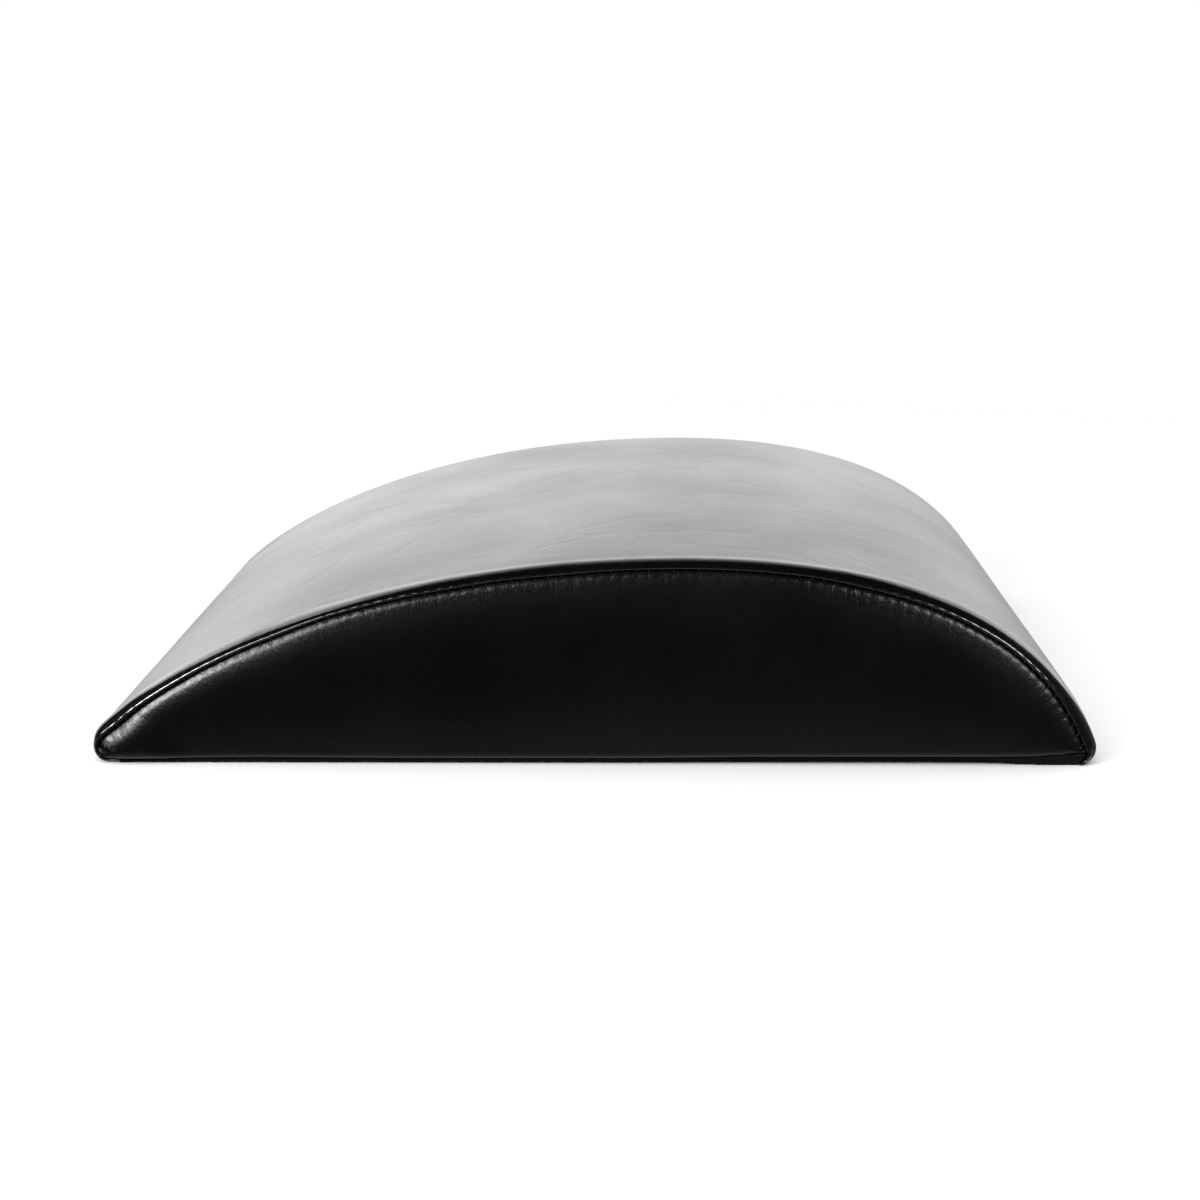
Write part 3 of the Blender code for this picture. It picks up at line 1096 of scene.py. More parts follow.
    def climb(self, above: np.ndarray, arch_run: np.ndarray) -> np.ndarray:
        """Share of the way out that the face has come.

        Args:
            above: Distances from the arch's seam.
            arch_run: Distances along the arch.

        Returns:
            Shares from 0 to 1. Toward the left tip the edge is fuller than elsewhere.
        """
        shares = []
        for knots in (self.full_slopes, self.slim_slopes, self.tip_slopes):
            places, slopes = np.array(knots).T
            fine = np.linspace(0, places[-1], self.slope_steps)
            slope = np.interp(fine, places, slopes)
            risen = np.concatenate([[0], np.cumsum((slope[1:] + slope[:-1]) * np.diff(fine))])
            shares.append(np.interp(above, fine * MM, risen / risen[-1]))
        full, slim, tip = shares
        slimmed = between(self.outline.arch_share(arch_run), *self.slim_from)
        return full + slimmed * (slim - full) + self.at_tip(arch_run) * (tip - full)

    def relief(self, points: np.ndarray) -> tuple[np.ndarray, np.ndarray, np.ndarray, np.ndarray]:
        """How far the face stands out at each place.

        Args:
            points: Rows of x and z on the face.

        Returns:
            How far it stands out past the seam width's half, the run along the arch's seam, the distance
            from that seam, and the distance from the base's.
        """
        upper, lower, run = self.edges()
        top_line = Path(np.hstack([upper, 0 * upper]))
        place = top_line.nearest(points)
        above, below = place[:, 1], Path(np.hstack([lower, 0 * lower])).nearest(points)[:, 1]
        arch_run = np.interp(place[:, 0], top_line.run, run[: len(top_line.run)])
        height = np.interp(points[:, 0], upper[:, 0], upper[:, 1] - lower[:, 1])
        low = np.interp(points[:, 0], lower[:, 0], lower[:, 1])
        share = np.clip((points[:, 1] - low) / np.maximum(height, 1e-6), 0, 1)
        crown = self.crown * (1 - abs(2 * share - 1) ** self.crown_power) * height / height.max()
        base_step = 1 - self.base_lip * np.exp(-below / self.base_lip_reach)
        base_step -= (1 - self.base_lip) * np.exp(-below / self.base_puff_reach)
        rounder = 1 + self.tip_puff * self.at_tip(arch_run)
        full = self.puff * (1 - np.exp(-height / self.slim_height)) * rounder
        nearness = above / np.maximum(above + below, 1e-9)
        sunk = self.recess * (1 - nearness) + self.base_recess * nearness
        out = (full + sunk) * self.climb(above, arch_run) * base_step - sunk + crown
        dimple = eased(self.outline.arch_share(arch_run), self.dimples_mm) * MM * self.seam.pinch(arch_run)
        out -= dimple * np.exp(-above / self.dimple_reach)
        out -= self.base_dimple * self.seam.pinch(points[:, 0]) * np.exp(-below / self.dimple_reach)
        out += self.wrinkle_height * self.wrinkles(arch_run, above) * between(height, *self.wrinkles_from)
        return out, arch_run, above, below

    def wrinkles(self, arch_run: np.ndarray, above: np.ndarray) -> np.ndarray:
        """The small gathers that stand across the arch's seam.

        Args:
            arch_run: Distances along the seam.
            above: Distances from it.

        Returns:
            Heights, from about -2 to 2.
        """
        place = np.stack([arch_run, above, np.zeros(len(above))], axis=1)
        width, length = self.wrinkle_size
        wider, longer, higher = self.broad_wrinkle
        fine = lumps(place, (width, length, 1), seed=5.3 + self.end.value)
        broad = lumps(place, (wider * width, longer * length, 1), seed=1.7 + self.end.value)
        full, until, gone = self.wrinkle_band
        return (fine + higher * broad) * between(above, 0, full) * (1 - between(above, until, gone))

    def build(self, finish: bpy.types.Material) -> bpy.types.Object:
        """Makes the panel.

        Args:
            finish: Its material.

        Returns:
            The finished piece.
        """
        upper, lower, _ = self.edges()
        shares = self.shares_down(upper, lower)
        flat = upper + shares[:, :, None] * (lower - upper)
        out = self.relief(flat.reshape(-1, 2))[0].reshape(shares.shape)
        side = self.end.value
        face = np.stack([flat[:, :, 0], side * (self.mat.half + out), flat[:, :, 1]], axis=2)
        ring = np.vstack([face[0], face[-1][-2:0:-1]])
        plies = np.array([ring - [0, side * back, 0] for back in (*PLY_STOPS[::-1], 0)])
        skin = Skin()
        skin.add_grid(face[::side], flat[::side])
        plies_cut = np.broadcast_to(ring[None, ::side, [0, 2]], (*plies.shape[:2], 2))
        skin.add_grid(plies[:, ::side], plies_cut, closed=True)
        piece = skin.build(f"leather_{self.end.name.lower()}_end", finish)
        points = points_of(piece)
        _, run, above, below = self.relief(points[:, [0, 2]])
        free = between(np.minimum(above, below), *self.swell_from)[:, None]
        place_points(piece, points + self.filling.swell(points) * free)
        height = np.interp(points[:, 0], upper[:, 0], upper[:, 1] - lower[:, 1])
        write_seam(piece, run, above + self.slim_height * (1 - between(height, *self.gathers_from)))
        thicken(piece, self.thickness)
        show_piece(piece, "leather", f"{self.end.name.lower()}_end_panel")
        return piece


@dataclass(kw_only=True)
class BasePanel(WrappingPanel):
    """Anti-slip fabric under the mat, its long edges rolled up to the end panels."""

    column_step: float = 2.0 * MM
    body_rows: int = 44
    thickness: float = 0.8 * MM
    turn_radius: float = 1.1 * MM
    ply_gap: float = 0.15 * MM
    setback: float = 0.2 * MM
    edge_pull: float = 0.12 * MM
    corner_lean: float = 2.7 * MM
    corner_reach: float = 17.0 * MM

    def build(self, finish: bpy.types.Material) -> bpy.types.Object:
        """Makes the panel.

        Args:
            finish: Its material.

        Returns:
            The finished piece.
        """
        first = self.mat.seam_x(Tip.RIGHT) - self.turn_radius - self.ply_gap
        last = self.mat.seam_x(Tip.LEFT) + self.turn_radius + self.ply_gap
        x = np.linspace(first, last, round((first - last) / self.column_step) + 1)
        out, deep = self.seam.base_section(x)
        out = out - self.setback - self.edge_pull * self.seam.pinch(x) * smooth(deep / MM)
        y, depth = self.across(out, deep)
        lift = np.array([self.mat.lift(x, float(np.median(abs(row)))) for row in y])
        lean = self.corner_lean * depth / depth.max() * between(x, first - self.corner_reach, first)
        grid, cut, there = self.lay(np.stack([x + lean, y, depth + lift], axis=2), x, len(out))
        skin = Skin()
        skin.add_grid(grid, cut, there=there)
        piece = skin.build("anti_slip_base", finish)
        points = points_of(piece)
        write_seam(piece, points[:, 0], self.mat.half - abs(points[:, 1]))
        thicken(piece, self.thickness)
        show_piece(piece, "base_fabric", "base_panel")
        return piece


@dataclass
class FoamWedge:
    """The firm foam block that fills the cover. It lies inside every panel and is never seen."""

    outline: Outline
    columns: int = 150
    rings: int = 32
    end_rows: int = 12
    inset: float = 2.6 * MM
    end_inset: float = 7.0 * MM
    least_height: float = 0.2 * MM
    end_gap: float = 4.5 * MM  # from the end panel's seam to the foam's end
    ply_gap: float = 4.0 * MM  # from the end of a ply to where the foam is full
    rebate_step: float = 0.5 * MM
    bulge: float = 3.0 * MM
    bulge_power: float = 2.4

    def ring(self, inset: float, y: float) -> np.ndarray:
        """The foam's outline at one place across the mat.

        Args:
            inset: How far it lies inside the mat's own outline.
            y: The place across the mat.

        Returns:
            Rows of x, y and z, once round.
        """
        rows = self.outline.arch.at(np.linspace(0, self.outline.arch.run[-1], self.columns + 1))
        upper = rows[:, :2] - inset * rows[:, 2:]
        upper[:, 0] = np.maximum.accumulate(upper[:, 0])
        upper[:, 1] = np.maximum(upper[:, 1], inset + self.least_height)
        lower = np.stack([upper[:, 0], inset + self.outline.mat.lift(upper[:, 0], y)], axis=1)
        return np.insert(np.vstack([lower, upper[::-1]]), 1, y, axis=1)

    def build(self, finish: bpy.types.Material) -> bpy.types.Object:
        """Makes the foam.

        Args:
            finish: Its material.

        Returns:
            The finished piece.
        """
        mat = self.outline.mat
        edge, full = mat.half - self.end_gap, mat.half - mat.ply_length - self.ply_gap
        half = [(self.end_inset, edge), (self.end_inset, full + self.rebate_step), (self.inset, full)]
        stations = [(inset, -y) for inset, y in half]
        stations += [(self.inset, y) for y in np.linspace(-full, full, self.rings)[1:-1]]
        stations += [(inset, y) for inset, y in reversed(half)]
        loft = np.array([self.ring(inset, y) for inset, y in stations])
        skin = Skin()
        skin.add_grid(loft, loft[:, :, :2], closed=True)
        count = self.columns + 1
        for end, ring in ((End.FRONT, loft[0]), (End.BACK, loft[-1])):
            low, high = ring[:count], ring[count:][::-1]
            height = (high - low)[:, 2]
            face = []
            for share in np.linspace(0, 1, self.end_rows):
                row = low + share * (high - low)
                bulge = (1 - abs(2 * share - 1) ** self.bulge_power) * self.bulge * height / height.max()
                row[:, 1] += end.value * bulge
                face.append(row)
            grid = np.array(face[:: -end.value])
            skin.add_grid(grid, grid[:, :, :2])
        piece = skin.build("foam_wedge", finish)
        show_piece(piece, "foam", "foam_core")
        return piece


@dataclass
class SeamThread:
    """Lockstitches of bonded thread, made as short tubes that cross each seam.

    A profile is a stitch's way across its seam. Its pairs are how far it stands out past the seam width's
    half and how deep it lies, or for the base how high. Under a tip they are its way along the mat and its
    height.
    """

    seam: EndSeam
    radius: float = 0.2 * MM
    slant: float = 0.9 * MM
    sides: int = 7
    aside: Triple = (0.3, 0.9, 0.31)  # any direction that no stitch runs in
    arch_profile_mm: Knots = (
        (-1.25, -0.45), (-0.80, -0.16), (-0.66, 0.22), (-0.92, 0.72), (-1.40, 1.12), (-2.1, 1.35)
    )
    base_profile_mm: Knots = ((-1.4, -0.40), (-0.95, -0.12), (-0.75, 0.16), (-0.85, 0.48), (-1.3, 0.72))
    tip_profile_mm: Knots = ((-1.3, 1.5), (-0.65, 0.8), (0.0, 0.62), (0.65, 0.8), (1.3, 1.5))
    left_margin: float = 4.0 * MM
    right_margin: float = 2.0 * MM
    tip_margin: float = 12.0 * MM

    def tube(self, skin: Skin, path: np.ndarray) -> None:
        """Adds one stitch.

        Args:
            skin: Gets its faces.
            path: Rows of points along its middle.
        """
        along = np.gradient(path, axis=0)
        along /= np.linalg.norm(along, axis=1, keepdims=True)
        side = np.cross(along, self.aside)
        side /= np.linalg.norm(side, axis=1, keepdims=True)
        other = np.cross(along, side)
        turns = np.linspace(0, 2 * math.pi, self.sides, endpoint=False)
        rings = [
            [point + self.radius * (math.cos(turn) * a + math.sin(turn) * b) for turn in turns]
            for point, a, b in zip(path, side, other)
        ]
        grid = np.array([[path[0]] * self.sides, *rings, [path[-1]] * self.sides])
        lengths = np.cumsum([0, 0, *np.linalg.norm(np.diff(path, axis=0), axis=1), 0])
        cut = np.stack(np.broadcast_arrays(lengths[:, None], turns[None] * self.radius), axis=2)
        skin.add_grid(grid, cut, closed=True)

    def along(self, start: float, stop: float, count: int) -> np.ndarray:
        """Spaces the stitches along a seam.

        Args:
            start: Where the first one lies.
            stop: No stitch lies past this.
            count: How many points each has.

        Returns:
            The place of each point along the seam, with a row for each stitch.
        """
        places = np.arange(start, stop, self.seam.outline.mat.stitch_pitch)
        return places[:, None] + np.linspace(-0.5, 0.5, count) * self.slant

    def sew(self, name: str, x: np.ndarray, y: np.ndarray, z: np.ndarray, finish: bpy.types.Material) -> None:
        """Makes a row of stitches.

        Args:
            name: Name of the piece, after what all rows share.
            x: Places along the mat of the stitches' points, with a row for each stitch.
            y: Places across it.
            z: Heights.
            finish: Their material.
        """
        skin = Skin()
        for path in np.stack(np.broadcast_arrays(x, y, z), axis=2):
            self.tube(skin, path)
        show_piece(skin.build(f"stitches_{name}", finish), None)

    def build(self, finish: bpy.types.Material) -> None:
        """Makes the rows in the arched seams, in the seams with the base, and under the tips.

        Args:
            finish: Their material.
        """
        outline, mat = self.seam.outline, self.seam.outline.mat
        for end in End:
            name = end.name.lower()
            out, drop = np.array(self.arch_profile_mm).T * MM
            run = self.along(mat.stitch_pitch, outline.arch.run[-1] - self.right_margin, len(out))
            x, z, nx, nz = outline.arch.at(run.ravel()).T.reshape(4, *run.shape)
            deep = self.seam.depth(run.ravel()).reshape(run.shape) + drop
            self.sew(f"{name}_arch", x - deep * nx, end.value * (mat.half + out), z - deep * nz, finish)
            out, rise = np.array(self.base_profile_mm).T * MM
            first = math.ceil((mat.seam_x(Tip.LEFT) + self.left_margin) / mat.stitch_pitch) * mat.stitch_pitch
            x = self.along(first, mat.seam_x(Tip.RIGHT) - self.right_margin, len(out))
            height = self.seam.base_depth(x) + mat.lift(x, mat.half) + rise
            self.sew(f"{name}_base", x, end.value * (mat.half + out), height, finish)
        for tip in Tip:
            off, height = np.array(self.tip_profile_mm).T * MM
            reach = mat.half - self.tip_margin
            y = self.along(-reach, reach, len(off))
            self.sew(f"{tip.name.lower()}_tip", mat.seam_x(tip) + off, y, height, finish)


def linear(code: str) -> tuple[float, float, float, float]:
    """Turns an sRGB hex colour, such as #1A1A1B, to linear red, green, blue and alpha."""
    parts = [int(code[i : i + 2], 16) / 255 for i in (1, 3, 5)]
    return (*(p / 12.92 if p <= 0.04045 else ((p + 0.055) / 1.055) ** 2.4 for p in parts), 1.0)


def add_node(
    tree: bpy.types.NodeTree, kind: str, settings: dict | None = None, links: dict | None = None
) -> bpy.types.Node:
    """Adds a node.

    Args:
        tree: Gets the node.
        kind: Its type, without the ShaderNode that starts it.
        settings: Values of its properties.
        links: For each of its inputs, by name or number, what it reads: the first output of a node, an
            output, or a plain value.

    Returns:
        The new node.
    """
    node = tree.nodes.new("ShaderNode" + kind)
    for name, value in (settings or {}).items():
        setattr(node, name, value)
    for name, value in (links or {}).items():
        if isinstance(value, bpy.types.Node):
            value = value.outputs[0]
        if isinstance(value, bpy.types.NodeSocket):
            tree.links.new(value, node.inputs[name])
        else:
            node.inputs[name].default_value = value
    return node


def ends(*values: float) -> dict[str, float]:
    """Names the ends of a map range: what it goes from and, unless that is 0 and 1, what it goes to."""
    return dict(zip(("From Min", "From Max", "To Min", "To Max"), values))


def new_tree(owner: bpy.types.Material | bpy.types.World) -> bpy.types.NodeTree:
    """Gives a new material or world an empty node tree.

    Args:
        owner: The material or world.

    Returns:
        The tree.
    """
    owner.use_nodes = True
    owner.node_tree.nodes.clear()
    return owner.node_tree


@dataclass(frozen=True)
class PuLeather:
    """Polyurethane-coated leather cloth: a pebbled grain pressed into a smooth, slightly glossy skin.

    The coating gives the eye a near-black face that turns grey where it is seen along the surface. Near a
    seam the skin is gathered, so fine wrinkles stand across it, and handling polishes the rolled edge. The
    real grain is about 0.3 mm wide. It and the wrinkles are drawn coarser, so that the render shows them.
    """

    name: str = "black_pu_leather"
    colour: str = "#030303"
    dusty: str = "#060607"
    cloud_mm: float = 71.43
    cloud_span: Pair = (0.35, 0.7)
    roughness: Pair = (0.27, 0.35)
    worn_span: Pair = (0.3, 0.7)
    blotch_mm: float = 1.111
    blotch_share: float = 0.5
    edge_polish: float = 1.0
    edge_polish_mm: Pair = (12.0, 5.0)
    ior: float = 1.5
    coat: float = 0.25
    coat_roughness: float = 0.24
    coat_ior: float = 1.5
    edge_coat: float = 0.25
    edge_coat_mm: Pair = (3.2, 1.6)
    pebble_mm: float = 0.55
    pebble_span: Pair = (0.75, 0.0)
    pebble_height_mm: float = 0.022
    wrinkle_mm: Pair = (0.85, 1.9)
    wrinkle_band_mm: Pair = (11.0, 3.0)
    wrinkle_height_mm: float = 0.17
    streak_mm: Pair = (60.0, 16.0)
    streak_height_mm: float = 0.03
    crease_mm: float = 70.0
    crease_width: float = 0.06
    crease_height_mm: float = 0.0

    def make(self) -> bpy.types.Material:
        """Builds the material.

        Returns:
            The material: dust in faint clouds for its colour, then its gloss and its relief.
        """
        made = bpy.data.materials.new(self.name)
        tree = new_tree(made)
        place = add_node(tree, "TexCoord").outputs["Object"]
        seam = add_node(tree, "Attribute", {"attribute_name": SEAM_PLACE}).outputs["Vector"]
        gap_m = add_node(tree, "SeparateXYZ", links={"Vector": seam}).outputs["Y"]
        gap = add_node(tree, "Math", {"operation": "DIVIDE"}, {0: gap_m, 1: MM})
        size = {"Scale": 1000 / self.cloud_mm, "Detail": 5.0}
        cloud = add_node(tree, "TexNoise", links={"Vector": place} | size)
        patch = add_node(tree, "MapRange", links={"Value": cloud} | ends(*self.cloud_span))
        colours = {"Factor": patch, "A": linear(self.colour), "B": linear(self.dusty)}
        span = ends(*self.edge_coat_mm, self.coat, self.edge_coat)
        surface = add_node(
            tree,
            "BsdfPrincipled",
            links={
                "Base Color": add_node(tree, "Mix", {"data_type": "RGBA"}, colours).outputs["Result"],
                "Roughness": self.gloss(tree, place, cloud, gap),
                "IOR": self.ior,
                "Coat Weight": add_node(tree, "MapRange", links={"Value": gap} | span),
                "Coat Roughness": self.coat_roughness,
                "Coat IOR": self.coat_ior,
                "Normal": self.relief(tree, place, seam, gap),
            },
        )
        add_node(tree, "OutputMaterial", links={"Surface": surface})
        return made

    def gloss(
        self,
        tree: bpy.types.NodeTree,
        place: bpy.types.NodeSocket,
        cloud: bpy.types.Node,
        gap: bpy.types.Node,
    ) -> bpy.types.Node:
        """Makes the skin rougher in the clouds and in small blotches, and polished beside a seam.

        Args:
            tree: Gets the nodes.
            place: The place in the object.
            cloud: How dusty the skin is here.
            gap: The distance from the nearest seam, in millimetres.

        Returns:
            The roughness.
        """
        size = {"Scale": 1000 / self.blotch_mm, "Detail": 3.0}
        fine = add_node(tree, "TexNoise", links={"Vector": place} | size)
        shares = {0: fine, 1: self.blotch_share, 2: -self.blotch_share / 2}
        blotch = add_node(tree, "Math", {"operation": "MULTIPLY_ADD"}, shares)
        worn = add_node(tree, "Math", {"operation": "ADD"}, {0: cloud, 1: blotch})
        span = ends(*self.worn_span, *self.roughness)
        rough = add_node(tree, "MapRange", links={"Value": worn} | span)
        span = ends(*self.edge_polish_mm, 1.0, self.edge_polish)
        polish = add_node(tree, "MapRange", EASED, {"Value": gap} | span)
        return add_node(tree, "Math", {"operation": "MULTIPLY"}, {0: rough, 1: polish})

    def relief(
        self,
        tree: bpy.types.NodeTree,
        place: bpy.types.NodeSocket,
        seam: bpy.types.NodeSocket,
        gap: bpy.types.Node,
    ) -> bpy.types.Node:
        """Raises the pebbles, the wrinkles across a seam, long streaks and creases, one over the other.

        Args:
            tree: Gets the nodes.
            place: The place in the object.
            seam: The place along the nearest seam and away from it, in metres.
            gap: The distance from it, in millimetres.

        Returns:
            The normal.
        """
        cut = add_node(tree, "Attribute", {"attribute_name": CUT_PLACE}).outputs["Vector"]
        size = {"Scale": 1000 / self.pebble_mm, "Smoothness": 0.35}
        pebbles = add_node(tree, "TexVoronoi", {"feature": "SMOOTH_F1"}, {"Vector": place} | size)
        grain = add_node(tree, "MapRange", EASED, {"Value": pebbles} | ends(*self.pebble_span))
        scale = (1000 / self.wrinkle_mm[0], 1000 / self.wrinkle_mm[1], 1.0)
        across = add_node(tree, "VectorMath", {"operation": "MULTIPLY"}, {0: seam, 1: scale})
        wrinkles = add_node(tree, "TexNoise", links={"Vector": across, "Scale": 1.0, "Detail": 3.0})
        band = add_node(tree, "MapRange", EASED, {"Value": gap} | ends(*self.wrinkle_band_mm))
        gathers = add_node(tree, "Math", {"operation": "MULTIPLY"}, {0: wrinkles, 1: band})
        scale = (1000 / self.streak_mm[0], 1000 / self.streak_mm[1], 1.0)
        drawn = add_node(tree, "VectorMath", {"operation": "MULTIPLY"}, {0: cut, 1: scale})
        size = {"Scale": 1.0, "Detail": 4.0, "Distortion": 0.6}
        streaks = add_node(tree, "TexNoise", links={"Vector": drawn} | size)
        size = {"Scale": 1000 / self.crease_mm, "Detail": 2.0, "Distortion": 0.8}
        slow = add_node(tree, "TexNoise", links={"Vector": cut} | size)
        off = add_node(tree, "Math", {"operation": "SUBTRACT"}, {0: slow, 1: 0.5})
        near = add_node(tree, "Math", {"operation": "ABSOLUTE"}, {0: off})
        creases = add_node(tree, "MapRange", EASED, {"Value": near} | ends(0.0, self.crease_width))
        normal = None
        for height, height_mm in (
            (grain, self.pebble_height_mm),
            (gathers, self.wrinkle_height_mm),
            (streaks, self.streak_height_mm),
            (creases, self.crease_height_mm),
        ):
            under = {} if normal is None else {"Normal": normal}
            normal = add_node(tree, "Bump", links={"Height": height, "Distance": height_mm * MM} | under)
        return normal


@dataclass(frozen=True)
class AntiSlipFabric:
    """Woven polyester with a rubbery back: a coarse plain weave of raised threads that stays matte.

    The weave gives the eye an even dark face with no gloss highlight. Its threads wander a little.
    """

    name: str = "anti_slip_fabric"
    colour: str = "#040404"
    thread_top_highlight: str = "#0B0B0C"
    roughness: Pair = (0.72, 0.92)
    sheen: float = 0.03
    specular: float = 0.2
    ior: float = 1.46
    thread_mm: float = 1.1
    thread_height_mm: float = 0.22
    fibre_mm: float = 0.2
    wander_mm: float = 0.5
    wander_size_mm: float = 3.846

    def make(self) -> bpy.types.Material:
        """Builds the material."""
        made = bpy.data.materials.new(self.name)
        tree = new_tree(made)
        cut = add_node(tree, "Attribute", {"attribute_name": CUT_PLACE}).outputs["Vector"]
        size = {"Scale": 1000 / self.wander_size_mm, "Detail": 1.0}
        shaken = add_node(tree, "TexNoise", links={"Vector": cut} | size)
        reach = (self.wander_mm * MM, self.wander_mm * MM, 0.0)
        drift = {0: shaken.outputs["Color"], 1: reach, 2: cut}
        drifted = add_node(tree, "VectorMath", {"operation": "MULTIPLY_ADD"}, drift)
        size = {"Scale": 1000 * math.pi / self.thread_mm}
        turned = add_node(tree, "VectorMath", {"operation": "SCALE"}, {0: drifted} | size)
        parts = add_node(tree, "SeparateXYZ", links={"Vector": turned}).outputs
        warp, weft = (add_node(tree, "Math", {"operation": "SINE"}, {0: parts[axis]}) for axis in "XY")
        woven = add_node(tree, "Math", {"operation": "MULTIPLY"}, {0: warp, 1: weft})
        height = add_node(tree, "Math", {"operation": "ABSOLUTE"}, {0: woven})
        size = {"Scale": 1000 / self.fibre_mm, "Detail": 2.0}
        fibres = add_node(tree, "TexNoise", links={"Vector": cut} | size)
        rough = add_node(tree, "MapRange", links={"Value": fibres} | ends(0.0, 1.0, *self.roughness))
        # Painted highlight and painted shade: thread tops are painted lighter and the hollows between them
        # darker, following the weave's height.
        colours = {"Factor": height, "A": linear(self.colour), "B": linear(self.thread_top_highlight)}
        colour = add_node(tree, "Mix", {"data_type": "RGBA"}, colours).outputs["Result"]
        relief = add_node(tree, "Bump", links={"Height": height, "Distance": self.thread_height_mm * MM})
        surface = add_node(
            tree,
            "BsdfPrincipled",
            links={
                "Base Color": colour,
                "Roughness": rough,
                "IOR": self.ior,
                "Sheen Weight": self.sheen,
                "Specular IOR Level": self.specular,
                "Normal": relief,
            },
        )
        add_node(tree, "OutputMaterial", links={"Surface": surface})
        return made


@dataclass(frozen=True)
class BondedThread:
    """Bonded polyester thread: two twisted strands under a wax coat, which gives each stitch a soft glint."""

    name: str = "bonded_thread"
    colour: str = "#0B0B0C"
    strand_crest_highlight: str = "#161618"
    roughness: float = 0.42
    ior: float = 1.55
    twist_mm: float = 0.5
    strand_height_mm: float = 0.05

    def make(self) -> bpy.types.Material:
        """Builds the material."""
        made = bpy.data.materials.new(self.name)
        tree = new_tree(made)
        cut = add_node(tree, "Attribute", {"attribute_name": CUT_PLACE}).outputs["Vector"]
        parts = add_node(tree, "SeparateXYZ", links={"Vector": cut}).outputs
        wound = add_node(tree, "Math", {"operation": "ADD"}, {0: parts["X"], 1: parts["Y"]})
        turns = {0: wound, 1: 2000 * math.pi / self.twist_mm}
        phase = add_node(tree, "Math", {"operation": "MULTIPLY"}, turns)
        strands = add_node(tree, "Math", {"operation": "SINE"}, {0: phase})
        share = add_node(tree, "MapRange", links={"Value": strands, "From Min": -1.0})
        # Painted highlight: each strand's crest is painted lighter than the groove of the twist, which is
        # painted darker as shade.
        colours = {"Factor": share, "A": linear(self.colour), "B": linear(self.strand_crest_highlight)}
        colour = add_node(tree, "Mix", {"data_type": "RGBA"}, colours).outputs["Result"]
        relief = add_node(tree, "Bump", links={"Height": share, "Distance": self.strand_height_mm * MM})
        surface = add_node(
            tree,
            "BsdfPrincipled",
            links={"Base Color": colour, "Roughness": self.roughness, "IOR": self.ior, "Normal": relief},
        )
        add_node(tree, "OutputMaterial", links={"Surface": surface})
        return made


@dataclass(frozen=True)
class ClosedCellFoam:
    """Firm closed-cell foam, cut from a block: a matte grey face of fine open pores."""

    name: str = "closed_cell_foam"
    colour: str = "#8E8E8B"
    pore_shade: str = "#5C5C5A"
    roughness: float = 0.95
    pore_mm: float = 1.2
    pore_edge: float = 0.6
    pore_depth_mm: float = 0.3

    def make(self) -> bpy.types.Material:
        """Builds the material."""
        made = bpy.data.materials.new(self.name)
        tree = new_tree(made)
        place = add_node(tree, "TexCoord").outputs["Object"]
        pores = add_node(tree, "TexVoronoi", links={"Vector": place, "Scale": 1000 / self.pore_mm})
        share = add_node(tree, "MapRange", links={"Value": pores, "From Max": self.pore_edge})
        # Painted shade: the pores are painted darker than the face, following the same relief as the bump.
        colours = {"Factor": share, "A": linear(self.pore_shade), "B": linear(self.colour)}
        colour = add_node(tree, "Mix", {"data_type": "RGBA"}, colours).outputs["Result"]
        relief = add_node(tree, "Bump", links={"Height": share, "Distance": self.pore_depth_mm * MM})
        surface = add_node(
            tree,
            "BsdfPrincipled",
            links={"Base Color": colour, "Roughness": self.roughness, "Normal": relief},
        )
        add_node(tree, "OutputMaterial", links={"Surface": surface})
        return made


@dataclass(frozen=True)
class SoftLight:
    """One soft box of the studio."""

    name: str
    place: Triple
    aim: Triple
    size: Pair
    radiance: float
    in_gloss: bool = True

    def make(self) -> None:
        """Hangs the light."""
        lamp = bpy.data.lights.new(self.name, "AREA")
        lamp.shape = "RECTANGLE"
        lamp.size, lamp.size_y = self.size
        lamp.energy = self.radiance * math.pi * self.size[0] * self.size[1]
        made = bpy.data.objects.new(self.name, lamp)
        made.location = self.place
        made.rotation_mode = "QUATERNION"
        made.rotation_quaternion = (Vector(self.aim) - Vector(self.place)).to_track_quat("-Z", "Y")
        made.visible_camera = False
        made.visible_glossy = self.in_gloss
        bpy.context.scene.collection.objects.link(made)


